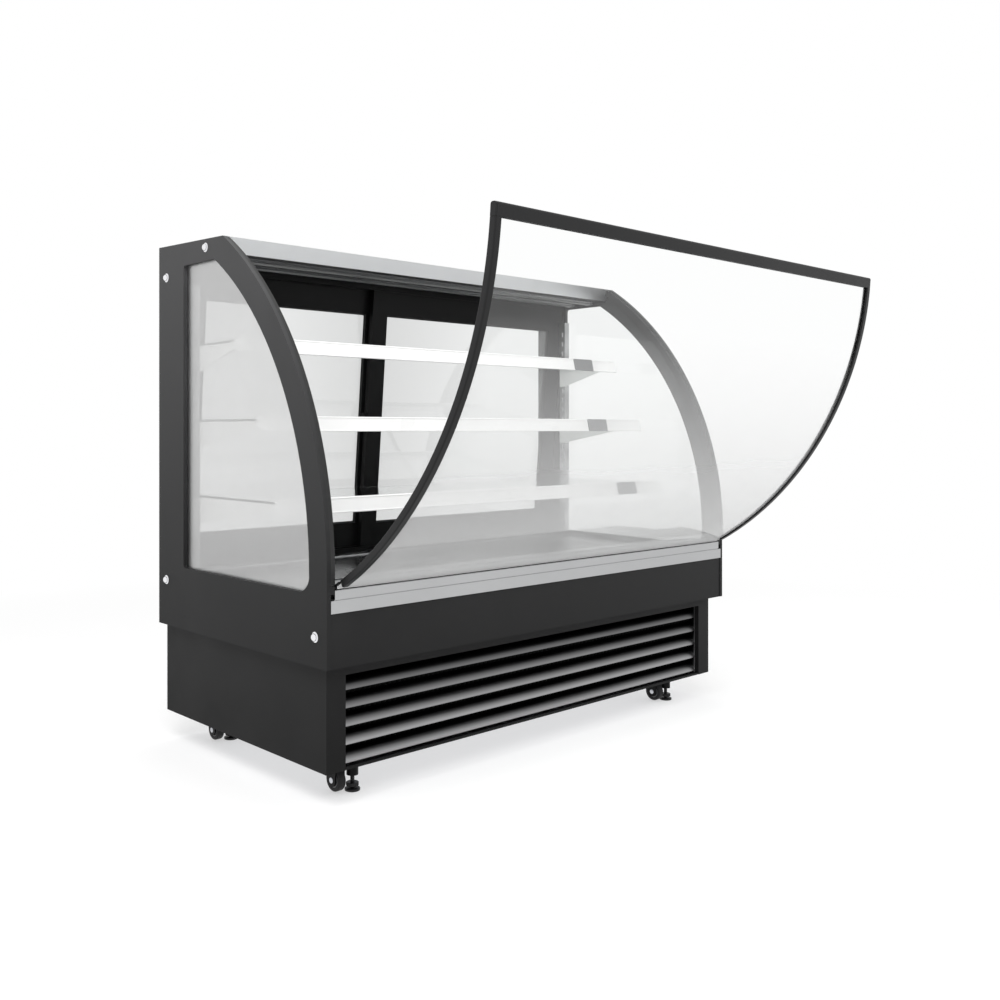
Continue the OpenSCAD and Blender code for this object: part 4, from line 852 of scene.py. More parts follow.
class Workshop:
    """Turns shells into pieces, dresses them, and keeps what was made."""

    def __init__(self) -> None:
        """Starts with no materials."""
        self.materials: dict[str, bpy.types.Material] = {}
        self.count = 0

    def finish(self, finish: Finish) -> bpy.types.Material:
        """Builds the material of a finish the first time that it is asked for.

        Args:
            finish: The finish.

        Returns:
            Its material.
        """
        if finish.name not in self.materials:
            self.materials[finish.name] = finish.material()
        return self.materials[finish.name]

    def piece(self, name: str, shells: Sequence[Shell], finish: Finish, body: str = "case",
              replaces: Iterable[str] = (), crease: float = 32.0) -> bpy.types.Object:
        """Makes one piece of closed shells and hands it to the frame.

        Args:
            name: The piece's name.
            shells: Its shells, in millimetres.
            finish: What it is finished with.
            body: The body it rides on.
            replaces: The nodes it stands for.
            crease: Edges sharper than this many degrees stay sharp.

        Returns:
            The new object.
        """
        whole = Shell.joined(shells)
        mesh = bpy.data.meshes.new(name)
        mesh.from_pydata(metres(whole.points), [], whole.quads.tolist() + whole.caps)
        work = bmesh.new()
        work.from_mesh(mesh)
        bmesh.ops.remove_doubles(work, verts=work.verts, dist=1e-6)
        bmesh.ops.recalc_face_normals(work, faces=work.faces)
        work.to_mesh(mesh)
        work.free()
        mesh.shade_smooth()
        mesh.set_sharp_from_angle(angle=math.radians(crease))
        mesh.materials.append(self.finish(finish))
        made = bpy.data.objects.new(name, mesh)
        bpy.context.scene.collection.objects.link(made)
        flatten = made.modifiers.new("flat_faces", "WEIGHTED_NORMAL")
        flatten.keep_sharp, flatten.weight = True, 100
        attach(made, body)
        names = tuple(replaces)
        if names:
            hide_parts(*names)
        self.count += 1
        log.info("%s: %d faces on %s", name, len(mesh.polygons), body)
        return made

    def dress(self, node: str, finish: Finish) -> None:
        """Gives a node of the frame its finish."""
        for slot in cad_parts[node].material_slots:
            slot.material = self.finish(finish)


@dataclass
class Curve:
    """The curved front: its centre and radius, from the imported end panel."""

    rise: float = 737.0
    centre_z: float = 480.0
    flat: float = 0.6
    canopy_y: float = 403.7

    def __post_init__(self) -> None:
        """Works out the angle and radius from the canopy's front edge."""
        self.top_deg = 2 * math.degrees(math.atan((self.canopy_y + self.flat) / self.rise))
        self.radius = self.rise / math.sin(math.radians(self.top_deg))
        self.centre_y = self.radius - self.flat

    def level_deg(self, z: float, radius: float) -> float:
        """The angle at which a circle of some radius reaches a height."""
        return math.degrees(math.asin((z - self.centre_z) / radius))

    def arc(self, radius: np.ndarray, deg: np.ndarray) -> tuple[np.ndarray, np.ndarray]:
        """Depth and height at a radius and an angle: centre - r cos a, centre + r sin a."""
        a = np.radians(deg)
        return self.centre_y - radius * np.cos(a), self.centre_z + radius * np.sin(a)


@dataclass
class FrontScreen:
    """The hinged front: curved glass, side strips, handle and hinge rail."""

    shop: Workshop
    curve: Curve
    setback: float = 10.0
    half: float = 676.0
    glass_t: float = 6.0
    strip_w: float = 15.0
    strip_t: float = 16.0
    groove: float = 11.0
    bar_h: float = 26.0
    bar_t: float = 14.0
    head: float = 15.0
    foot: float = 6.0
    pivot: Corner = (9.0, 452.0)
    tilt_deg: float = 60.0
    bead_r: float = 7.0
    flange_t: float = 4.2
    flange_low: float = 3.0
    flange_high: float = 22.0
    gap: float = 0.3
    spans: int = 90
    body: str = "glass_screen"

    def __post_init__(self) -> None:
        """Works out the glass's radius, the angle of a millimetre on it, and where it ends."""
        self.radius = self.curve.radius - self.setback
        self.arc_deg = math.degrees(1 / self.radius)
        self.top_deg = self.curve.top_deg - self.head * self.arc_deg
        self.bar_deg = self.top_deg - self.bar_h * self.arc_deg
        self.glass_half = self.half - self.strip_w + self.groove
        self.slot = self.glass_t / 2 + self.gap

    def opened(self, shell: Shell) -> Shell:
        """Turns a shell about the hinge: depth and height rotate by the tilt about the pivot.

        Args:
            shell: The shell, drawn closed.

        Returns:
            The same shell, open.
        """
        a = math.radians(self.tilt_deg)
        y, z = shell.points[:, 1] - self.pivot[0], shell.points[:, 2] - self.pivot[1]
        shell.points = np.stack([shell.points[:, 0],
                                 self.pivot[0] + y * math.cos(a) - z * math.sin(a),
                                 self.pivot[1] + y * math.sin(a) + z * math.cos(a)], 1)
        return shell

    def swept(self, section: np.ndarray, from_deg: float, to_deg: float, ease: float) -> Shell:
        """Carries a section of length and radius along the arc.

        A station at angle a places section point (x, r) at x along the case, depth
        centre - r cos a and height centre + r sin a, and the two ends are eased.

        Args:
            section: Points of x and radius.
            from_deg: The lower angle.
            to_deg: The upper angle.
            ease: The rounding of the ends in millimetres.

        Returns:
            The swept shell, open.
        """
        ends, drawn = eased(math.radians(from_deg) * self.radius, math.radians(to_deg) * self.radius, ease)
        half = len(ends) // 2
        middle = np.linspace(ends[half - 1], ends[half], self.spans + 1)[1:-1]
        along = np.concatenate([ends[:half], middle, ends[half:]])
        drawn = np.concatenate([drawn[:half], np.zeros(len(middle)), drawn[half:]])
        sections = inset(section, drawn)
        y, z = self.curve.arc(sections[..., 1], np.degrees(along / self.radius)[:, None])
        return self.opened(loft(np.stack([sections[..., 0], y, z], -1)))

    def build(self) -> None:
        """Makes the glass, the strips, the handle and the rail."""
        self.glass()
        self.side_strips()
        self.handle()
        self.rail()

    def glass(self) -> None:
        """The bent pane: a rounded sheet section swept up to its groove in the handle."""
        t = self.glass_t / 2
        low_deg = self.curve.level_deg(self.pivot[1] + self.foot, self.radius)
        high_deg = self.top_deg - (self.bar_h - self.groove) * self.arc_deg
        sheet = softened(rectangle((-self.glass_half, self.radius - t), (self.glass_half, self.radius + t)),
                         1.4, 3)
        self.shop.piece("screen_glass", [self.swept(sheet, low_deg, high_deg, 1.4)], SCREEN_GLASS,
                        self.body, ["front_glass"])

    def side_strips(self) -> None:
        """The strips on the pane's curved edges: a grooved channel section swept up to the handle."""
        inner, wide, radius = self.half - self.strip_w, self.strip_t / 2, self.radius
        slot, bottom = self.slot, self.glass_half + self.gap
        channel = softened(
            [(inner, radius - wide), (self.half, radius - wide), (self.half, radius + wide),
             (inner, radius + wide), (inner, radius + slot), (bottom, radius + slot),
             (bottom, radius - slot), (inner, radius - slot)],
            [1.6, 3.4, 3.4, 1.6, 0.6, 0.3, 0.3, 0.6], 4)
        strip = self.swept(channel, 0.0, self.bar_deg, 0.5)
        self.shop.piece("screen_side_strips", strip.both_ends(), BLACK_PLASTIC, self.body, ["glass_strips"])

    def handle(self) -> None:
        """The handle bar: a rounded band section carried along x, its groove stopped short of the ends."""
        low, high, radius = self.bar_deg, self.top_deg, self.radius
        wide, slot = self.bar_t / 2, self.slot
        bite = low + (self.groove + self.gap) * self.arc_deg

        def section(corners: Sequence[Corner], soft: Sequence[float]) -> np.ndarray:
            """Corners of radius and angle as a softened outline of depth and height."""
            r, deg = np.asarray(corners, float).T
            return softened(np.stack(self.curve.arc(r, deg), 1), soft, 5)

        outer = [(radius - wide, low), (radius - wide, high), (radius + wide, high), (radius + wide, low)]
        notch = [(radius + slot, low), (radius + slot, bite), (radius - slot, bite), (radius - slot, low)]
        grooved = section(outer + notch, [1.2, 5.5, 5.5, 1.2, 0.5, 0.3, 0.3, 0.5])
        full = section(outer, [1.2, 5.5, 5.5, 1.2])
        end = self.glass_half + self.gap
        cap = bar_along(0, full, end - 0.02, self.half, 1.0)
        shells = [bar_along(0, grooved, -end, end, 0.01), *cap.both_ends()]
        self.shop.piece("screen_handle", [self.opened(s) for s in shells], BLACK_PLASTIC, self.body,
                        ["glass_handle"])

    def rail(self) -> None:
        """The hinge rail: a round bead with a flange behind the glass, as one outline along x."""
        out = self.radius - self.glass_t / 2 - self.gap
        low = self.curve.level_deg(self.pivot[1] + self.flange_low, out)
        high = self.curve.level_deg(self.pivot[1] + self.flange_high, out)
        angles = np.linspace(low, high, 6)
        front = np.stack(self.curve.arc(np.full(len(angles), out), angles), 1)
        back = np.stack(self.curve.arc(np.full(len(angles), out - self.flange_t), angles[::-1]), 1)
        turn = np.radians(np.linspace(35, 320, 40))
        bead = np.stack([self.pivot[0] + self.bead_r * np.cos(turn),
                         self.pivot[1] + self.bead_r * np.sin(turn)], 1)
        bead[:, 1] = np.minimum(bead[:, 1], self.pivot[1] + self.foot - self.gap)
        flange = bar_along(0, softened(np.concatenate([front, back]), 0.8, 2), -self.half, self.half, 0.6)
        round_bead = bar_along(0, bead, -self.half, self.half, 0.8)
        self.shop.piece("screen_hinge_rail", [self.opened(flange), self.opened(round_bead)], BLACK_PLASTIC,
                        self.body, ["glass_rail"])


@dataclass
class EndPanels:
    """Cap nuts of the two end panels."""

    shop: Workshop
    face_x: float = 700.0
    collar_r: float = 11.0
    dome_r: float = 8.0
    collar_h: float = 2.5
    dome_h: float = 6.0
    washer_t: float = 1.3
    places: tuple[Corner, ...] = ((40.0, 355.0), (672.0, 404.0), (672.0, 1149.0), (480.7, 1199.6))

    def build(self) -> None:
        """Turns each nut: a washer, a hexagon's rounded shoulder and a polished dome."""
        a = np.linspace(0, math.pi / 2, 12)
        dome = np.stack([self.collar_h + self.dome_h * np.sin(a), self.dome_r * np.cos(a)], 1)
        washer = [(0.0, 0.0), (0.0, self.collar_r), (0.9, self.collar_r), (self.washer_t, self.collar_r - 0.5),
                  (self.washer_t, self.dome_r + 1.2), (self.collar_h - 0.4, self.dome_r + 1.2),
                  (self.collar_h, self.dome_r + 0.7), (self.collar_h, self.dome_r)]
        profile = np.concatenate([washer, dome[1:]])
        nuts = [turned(profile, (self.face_x, y, z), 0, 40) for y, z in self.places]
        self.shop.piece("cap_nut_domes", [s for n in nuts for s in n.both_ends()], CHROME, "case", ["cap_nuts"])


@dataclass
class Canopy:
    """Lenses under the canopy's two light strips, and the strips' end caps."""

    shop: Workshop
    strip_w: float = 30.0
    lens_half: float = 9.5
    bulge: float = 2.6
    lens_top: float = 1.5
    short: float = 6.0
    cap_reach: Corner = (5.5, 0.5)
    cap_z: Corner = (-1.5, 8.5)

    def lens(self, low: np.ndarray, high: np.ndarray, front: float) -> Shell:
        """A shallow lens section carried along a strip: its depth bulges as the parabola b(1 - u^2).

        Args:
            low: The strips' lowest corner.
            high: The strips' highest corner.
            front: The strip's front edge.

        Returns:
            The lens.
        """
        u = np.linspace(-1, 1, 13)
        middle = front + self.strip_w / 2
        face = np.stack([middle + self.lens_half * u, low[2] - self.bulge * (1 - u**2)], 1)
        top = np.array([[middle + self.lens_half, low[2] + self.lens_top],
                        [middle - self.lens_half, low[2] + self.lens_top]])
        return bar_along(0, np.concatenate([face, top]), low[0] + self.short, high[0] - self.short, 1.0)

    def build(self) -> None:
        """Makes the lenses and the caps of both strips."""
        low, high = box_mm("canopy_lamps")
        fronts = (low[1], high[1] - self.strip_w)
        self.shop.piece("canopy_light_lenses", [self.lens(low, high, front) for front in fronts], LENS)
        inner, outer = high[0] - self.cap_reach[0], high[0] + self.cap_reach[1]
        caps = [block((inner, front + 1, low[2] + self.cap_z[0]),
                      (outer, front + self.strip_w - 1, low[2] + self.cap_z[1]), 0, 1.2) for front in fronts]
        self.shop.piece("canopy_light_caps", [s for c in caps for s in c.both_ends()], GREY_PLASTIC)


@dataclass(frozen=True)
class Leaf:
    """A sliding door: its side and body, its track, its pane's left and right edges, its stiles' middles."""

    side: str
    body: str
    track: int
    left: float
    right: float
    stiles: Corner


@dataclass
class RearDoors:
    """Pane gaskets, screws and pulls of the leaning sliding doors."""

    shop: Workshop
    frame_y: float = 652.0
    rim_z: float = 425.0
    lean_deg: float = 5.0
    low: float = 83.8
    high: float = 673.5
    door_t: float = 16.0
    pane_t: float = 5.0
    tracks: Corner = (3.625, 24.375)
    screw_levels: Corner = (45.0, 712.0)
    pull_x: float = 644.7
    pull_z: float = 378.65
    pull_cut: float = 7.0
    grip_half: Corner = (8.3, 70.0)
    leaves: tuple[Leaf, ...] = (Leaf("right", "rear_door_right", 0, -60.0, 615.2, (-86.0, 644.7)),
                                Leaf("left", "rear_door_left", 1, -615.2, -118.0, (-644.7, -92.0)))

    def leaned(self, shell: Shell) -> Shell:
        """Leans a shell drawn upright: depth and height rotate about the frame's front foot.

        Args:
            shell: The shell, drawn upright.

        Returns:
            The leaning shell.
        """
        a = math.radians(self.lean_deg)
        y, z = shell.points[:, 1], shell.points[:, 2]
        points = np.stack([shell.points[:, 0], self.frame_y + y * math.cos(a) - z * math.sin(a),
                           self.rim_z + y * math.sin(a) + z * math.cos(a)], 1)
        return Shell(points, shell.quads, shell.caps)

    def gasket(self, leaf: Leaf, y: float, out: float) -> Shell:
        """Makes a rubber bead round a pane: a lip section carried round a rounded rectangle.

        Args:
            leaf: The door.
            y: The depth of the pane's face.
            out: -1 for the face in front, 1 for the one behind.

        Returns:
            The bead, drawn upright.
        """
        path = softened(rectangle((leaf.left, self.low), (leaf.right, self.high)), 7, 5)
        grow = np.array([-3.6, -3.2, 0.4, 0.4])
        rise = np.array([0.0, 1.5, 2.6, 0.0]) * out
        return loft(rim(path, grow, y + rise).transpose(1, 0, 2), looped=True)

    def build(self) -> None:
        """Makes both doors' gaskets and screws, and their pulls."""
        for leaf in self.leaves:
            front = self.tracks[leaf.track]
            middle = front + self.door_t / 2
            beads = [self.gasket(leaf, middle + out * self.pane_t / 2, out) for out in (-1, 1)]
            self.shop.piece(f"door_{leaf.side}_pane_gaskets", [self.leaned(b) for b in beads], SEAL, leaf.body)
            head = [(0, 0), (0, 4.2), (0.7, 4.0), (1.3, 2.6), (1.4, 0)]
            screws = [turned(head, (x, front + self.door_t, z), 1, 20)
                      for x in leaf.stiles for z in self.screw_levels]
            self.shop.piece(f"door_{leaf.side}_screws", [self.leaned(s) for s in screws], CHROME, leaf.body)
        self.pull_cup()
        self.pull_insert()

    def pull_cup(self) -> None:
        """The rim of the right door's cut pull: a lip section round a tall rounded slot."""
        floor = self.tracks[0] + self.door_t - self.pull_cut
        slot = softened(rectangle((-6.6, -73.6), (6.6, 73.6)), 4.5, 5)
        depth = np.array([0.2, 0.2, 6.6, 7.4, 7.4, 6.6])
        grow = np.array([-0.9, 0.4, 0.4, 0.0, -1.6, -1.6])
        cup = rim(slot, grow, floor + depth) + np.array([self.pull_x, 0.0, self.pull_z])
        self.shop.piece("door_right_pull_cup", [self.leaned(loft(cup, looped=True))], STAINLESS,
                        "rear_door_right")

    def pull_insert(self) -> None:
        """The satin strip on the left door's standing pull."""
        wide, tall = self.grip_half
        back = self.tracks[1] + self.door_t
        grip = block((-self.pull_x - wide, back + 13.4, self.pull_z - tall),
                     (-self.pull_x + wide, back + 14.6, self.pull_z + tall), 2, 0.5)
        self.shop.piece("door_left_pull_insert", [self.leaned(grip)], SATIN, "rear_door_left")


@dataclass
class Shelving:
    """Glass shelves with eased edges, label bar trims and power blocks."""

    shop: Workshop
    shelves: tuple[tuple[str, float], ...] = (("shelf_bottom", 0.696), ("shelf_middle", 0.631),
                                              ("shelf_top", 0.703))
    rise: float = 6.0
    face_h: float = 35.0
    depth: float = 10.0
    slant: float = 8.0
    half: float = 674.0
    reach: float = 680.0
    block_w: float = 84.0

    def face(self, front: float, top: float, down: float, proud: float) -> Corner:
        """A point on the slanted face: so far down from its top, and so far in front of it."""
        share = down / self.face_h
        return front - self.depth - self.slant * share - proud, top + self.rise - down

    def ledge(self, edge: Corner, downs: Corner, prouds: Corner, soft: tuple[float, int],
              taper: float = 0.0) -> np.ndarray:
        """Makes the outline of a strip on the slanted face.

        Args:
            edge: The shelf's front edge and top.
            downs: How far down the face the strip starts and ends.
            prouds: How far in front of the face its back and its front lie.
            soft: The rounding of its corners, and their spans.
            taper: How much each end draws in towards the front.

        Returns:
            The outline of depth and height.
        """
        start, end = downs
        corners = [(start, prouds[0]), (end, prouds[0]), (end - taper, prouds[1]), (start + taper, prouds[1])]
        return softened([self.face(*edge, down, proud) for down, proud in corners], *soft)

    def end_cap(self, edge: Corner) -> np.ndarray:
        """Makes the outline of a bar's end cap, a little outside the bar's own.

        Args:
            edge: The shelf's front edge and top.

        Returns:
            The outline of depth and height.
        """
        front, top = edge
        return softened([self.face(*edge, -0.4, 0.6), self.face(*edge, self.face_h + 0.4, 0.6),
                         (front - self.slant + 0.4, top - self.face_h + self.rise - 0.4),
                         (front + 0.4, top - 6), (front + 0.4, top + self.rise + 0.4)], 1.2, 3)

    def build(self) -> None:
        """Makes each shelf's glass, its bar's lips and end caps, and the block's cover."""
        lips: list[Shell] = []
        caps: list[Shell] = []
        covers: list[Shell] = []
        tracks: list[Shell] = []
        for name, share in self.shelves:
            low, high = box_mm(name)
            edge = (low[1], high[2])
            pane = softened(rectangle((low[1], low[2]), (high[1], high[2])), [2.0, 1.0, 1.0, 2.0], 4)
            self.shop.piece(name + "_pane", [bar_along(0, pane, low[0], high[0], 1.2)], SHELF_GLASS,
                            "case", [name])
            for down in (2.2, self.face_h - 2.2):
                lip = self.ledge(edge, (down - 1.8, down + 1.8), (-0.3, 0.9), (0.7, 3), 0.6)
                lips.append(bar_along(0, lip, -self.half + 2, self.half - 2, 0.5))
            caps.append(bar_along(0, self.end_cap(edge), self.half - 1.0, self.half + 1.6, 0.6))
            x = self.reach * share
            cover = self.ledge(edge, (0.6, self.face_h - 0.6), (1.6, 2.9), (0.5, 3))
            covers.append(bar_along(0, cover, x + 1, x + self.block_w - 1, 0.6))
            track = self.ledge(edge, (15, 20), (2.6, 3.3), (0.3, 2))
            tracks.append(bar_along(0, track, x + 9, x + self.block_w - 9, 0.4))
        self.shop.piece("label_bar_lips", lips, WHITE_PLASTIC)
        self.shop.piece("label_bar_end_caps", [s for c in caps for s in c.both_ends()], WHITE_PLASTIC)
        self.shop.piece("power_block_covers", covers, GREY_PLASTIC)
        self.shop.piece("power_block_tracks", tracks, GREY_PLASTIC)


@dataclass
class Casters:
    """Forks' finish, axle heads, tyres, hubs and levelling feet at the four corners."""

    shop: Workshop
    wheel_r: float = 25.0
    wheel_w: float = 18.0
    shoulder_r: float = 3.4
    axle_r: float = 4.1
    head_r: float = 6.2
    foot_r: float = 17.0
    knurls: int = 24
    thread_pitch: float = 1.5

    def build(self) -> None:
        """Dresses each corner's fork and makes its wheel and foot."""
        for corner in CORNERS:
            self.shop.dress("fork_" + corner, INK_PLASTIC)
            self.axle_heads(corner)
            self.wheel(corner)
            self.foot(corner)

    def wheel(self, corner: str) -> None:
        """Turns a tyre with rounded shoulders and a dished hub about the axle.

        A shoulder is a quarter circle: width w - s(1 - sin a), radius r - s(1 - cos a).

        Args:
            corner: The caster's corner.
        """
        low, high = box_mm("wheel_" + corner)
        centre = (low + high) / 2
        half, r, soft = self.wheel_w / 2, self.wheel_r, self.shoulder_r
        a = np.linspace(0, math.pi / 2, 7)
        shoulder = np.stack([half - soft + soft * np.sin(a), r - soft + soft * np.cos(a)], 1)
        side = [(half, r - 7.5), (half - 0.9, r - 8.0), (half - 0.9, r - 8.8)]
        right = np.concatenate([shoulder, side])
        tyre = np.concatenate([[(-half + 0.9, r - 11)], right[::-1] * [-1, 1], right, [(half - 0.9, r - 11)]])
        tyre = np.concatenate([tyre, [tyre[0]]])
        body = "caster_wheel_" + corner
        self.shop.piece("tyre_" + corner, [turned(tyre, centre, 0, 64)], TYRE, body, ["wheel_" + corner])
        dish = [(1.2, self.axle_r), (1.2, 7.0), (3.2, 8.2), (3.2, 12.5), (0.6, 13.6), (0.6, r - 8.6)]
        hub = [(-half + into, radius) for into, radius in dish]
        hub += [(half - into, radius) for into, radius in dish[::-1]]
        self.shop.piece("hub_" + corner, [turned(hub + hub[:1], centre, 0, 48)], GREY_PLASTIC, body)

    def axle_heads(self, corner: str) -> None:
        """Turns the axle's two rivet heads on the fork's cheeks, each domed as a quarter ellipse.

        Args:
            corner: The caster's corner.
        """
        low, high = box_mm("wheel_" + corner)
        y, z = (low[1] + high[1]) / 2, (low[2] + high[2]) / 2
        a = np.linspace(0, math.pi / 2, 8)
        dome = np.stack([0.3 + 1.5 * np.sin(a), self.head_r * np.cos(a)], 1)
        profile = np.concatenate([[(0.0, 0.0), (0.0, self.head_r)], dome])
        heads = [turned(profile * [side, 1], (x + side * 4.0, y, z), 0, 32)
                 for side, x in ((-1, low[0]), (1, high[0]))]
        self.shop.piece("caster_axle_heads_" + corner, heads, ZINC, "caster_" + corner)

    def foot(self, corner: str) -> None:
        """Turns a levelling foot: a soft pad, a knurled thumb wheel and a threaded stem.

        The thumb wheel's radius is r(1 + 0.035 cos 24a), and the thread's is a triangle
        wave of its pitch.

        Args:
            corner: The caster's corner.
        """
        low, high = box_mm("foot_" + corner)
        centre = ((low[0] + high[0]) / 2, (low[1] + high[1]) / 2, low[2])
        r = self.foot_r
        pad = [(0.0, 0.0), (0.0, r - 1.2), (0.5, r - 0.3), (1.6, r), (4.4, r), (5.4, r - 0.7), (6.0, r - 3.0),
               (6.4, 8.0), (6.4, 0.0)]
        angle = np.linspace(0, 2 * math.pi, 96, endpoint=False)
        levels = np.array([10.0, 10.0, 10.8, 17.2, 18.0, 18.0])
        radii = np.array([0.0, 12.4, 13.4, 13.4, 12.4, 0.0])
        knurl = radii[:, None] * (1 + 0.035 * np.cos(self.knurls * angle))[None]
        rings = np.stack([knurl * np.cos(angle), knurl * np.sin(angle),
                          np.broadcast_to(levels[:, None], knurl.shape)], -1) + np.array(centre)
        start, end = 5.5, high[2] - low[2] - 0.5
        z = np.linspace(start, end, 90)
        thread = np.stack([z, 4.75 - 0.35 * (np.abs((z / self.thread_pitch) % 1 - 0.5) * 2)], 1)
        stem = np.concatenate([[(start, 0.0)], thread, [(end, 0.0)]])
        shells = [turned(pad, centre, 2, 48), loft(rings), turned(stem, centre, 2, 20)]
        self.shop.piece("levelling_foot_" + corner, shells, BLACK_PLASTIC, "caster_foot_" + corner,
                        ["foot_" + corner])


@dataclass
class MachineBay:
    """Fins, tubes, guard and fittings of the refrigeration."""

    shop: Workshop
    fin_pitch: float = 6.0
    fin_t: float = 0.7
    evaporator_fins: int = 140
    core: Corner = (414.0, 534.0)
    cold_tube_r: float = 4.0
    hot_tube_r: float = 3.5
    hot_rows: Corner = (12.0, 28.0)
    shroud_y: float = 180.0
    guard_rings: tuple[float, ...] = (34.5, 50.0, 66.0, 82.0)
    guard_wire: float = 1.4
    ring_wire: float = 1.1
    spoke: Corner = (34.0, 86.0)
    leg_r: Corner = (84.0, 88.0)
    compressor_y: float = 332.0
    bolt_z: float = 87.0
    bolt_reach: float = 80.0

    def fins(self, low: Sequence[float], high: Sequence[float], count: int) -> Shell:
        """Makes thin fins side by side along x between two corners.

        Args:
            low: The lowest corner.
            high: The highest corner.
            count: How many fins.

        Returns:
            The fins as one shell.
        """
        x, half = np.linspace(low[0], high[0], count), self.fin_t / 2
        lows = np.stack([x - half, np.full(count, low[1]), np.full(count, low[2])], 1)
        highs = np.stack([x + half, np.full(count, high[1]), np.full(count, high[2])], 1)
        return plates(lows, highs)

    def bends(self, x: float, ys: Sequence[float], zs: Sequence[float], radius: float) -> list[Shell]:
        """Makes return bends: half circles standing out of a coil's left end.

        Args:
            x: The coil's end.
            ys: The depths of the rows of tubes.
            zs: The heights of the tubes, which the bends join in pairs.
            radius: The tube's radius.

        Returns:
            One bend for each pair of tubes in each row.
        """
        a = np.linspace(-math.pi / 2, math.pi / 2, 10)
        made = []
        for y in ys:
            for low, high in zip(zs[::2], zs[1::2]):
                half = (high - low) / 2
                path = np.stack([x - half * np.cos(a), np.full(len(a), y), (low + high) / 2 + half * np.sin(a)], 1)
                made.append(wire(path, radius))
        return made

    def build(self) -> None:
        """Makes the coils' fins, the return bends, the fan guard and the compressor's fittings."""
        low, high = box_mm("condenser")
        left, right, front, top = low[0] + 3, high[0] - 3, low[1], high[2] - 4
        fins = self.fins((left, front - 1.6, low[2] + 4), (right, front + 0.5, top),
                         int((right - left) / self.fin_pitch))
        self.shop.piece("condenser_fins", [fins], COIL)
        cold_low, cold_high = box_mm("evaporator")
        core_front, core_back = self.core
        fins = self.fins((cold_low[0] + 4, core_back - 0.5, cold_low[2] + 6),
                         (cold_high[0] - 4, core_back + 1.8, cold_high[2] - 3), self.evaporator_fins)
        self.shop.piece("evaporator_fins", [fins], COIL)
        levels = np.linspace(cold_low[2] + 12, cold_high[2] - 10, 4)
        bends = self.bends(cold_low[0] + 0.5, np.linspace(core_front + 20, core_back - 20, 3), levels,
                           self.cold_tube_r)
        self.shop.piece("evaporator_return_bends", bends, COPPER)
        levels = np.linspace(low[2] + 20, top - 20, 8)
        bends = self.bends(low[0] + 0.5, [front + row for row in self.hot_rows], levels, self.hot_tube_r)
        self.shop.piece("condenser_return_bends", bends, COPPER)
        self.guard()
        self.compressor()

    def guard(self) -> None:
        """A wire guard in front of the condenser's fan ring: rings about the axis and bent radial spokes."""
        low, high = box_mm("condenser_fan")
        centre = (low + high) / 2
        plate_y = high[1] + 3.0
        spoke_y = plate_y + 1.6
        a = np.linspace(0, 2 * math.pi, 48, endpoint=False)
        shells = []
        for radius in self.guard_rings:
            ring = np.stack([centre[0] + radius * np.cos(a), np.full(len(a), plate_y),
                             centre[2] + radius * np.sin(a)], 1)
            shells.append(wire(ring, self.ring_wire, 6, looped=True))
        hub = np.array([centre[0], 0.0, centre[2]])
        for turn in np.radians(np.arange(30, 360, 60)):
            out = np.array([math.cos(turn), 0, math.sin(turn)])
            span = np.linspace(*self.spoke, 6)[:, None]
            spoke = np.array([centre[0], spoke_y, centre[2]]) + span * out
            shells.append(wire(spoke, self.guard_wire, 6))
            start, end = (hub + radius * out for radius in self.leg_r)
            leg = [start + [0, spoke_y, 0], end + [0, spoke_y, 0], end + [0, self.shroud_y, 0]]
            shells.append(wire(smooth_path(leg, 2.5, 3), self.guard_wire, 6))
            shells.append(turned([(0, 0), (0, 4.5), (0.9, 4.5), (0.9, 0)], leg[-1], 1, 16))
        self.shop.piece("condenser_fan_guard", shells, ZINC)

    def compressor(self) -> None:
        """The shell's weld seam, its process stub and its foot bolts."""
        low, high = box_mm("compressor")
        x, y, top = (low[0] + high[0]) / 2, self.compressor_y, high[2]
        seam = turned([(-3, 79.0), (-2.6, 82.4), (0, 83.2), (2.6, 82.4), (3, 79.0), (-3, 79.0)],
                      (x, y, top - 64), 2, 72)
        self.shop.piece("compressor_weld_seam", [seam], BLACK_PAINT)
        path = smooth_path([(x - 30, y - 70, top - 40), (x - 34, y - 92, top - 36), (x - 34, y - 94, top - 6)], 8)
        self.shop.piece("compressor_process_stub", [wire(path, 3.6, 12)], COPPER)
        bolt = [(0, 0), (0, 8.4), (3.6, 8.4), (4.6, 7.2), (4.6, 3.2), (10.0, 3.2), (10.6, 2.4), (10.6, 0)]
        bolts = [turned(bolt, (x + side * self.bolt_reach, y + end * self.bolt_reach, self.bolt_z), 2, 6)
                 for side in (-1, 1) for end in (-1, 1)]
        self.shop.piece("compressor_bolts", bolts, ZINC, crease=20)


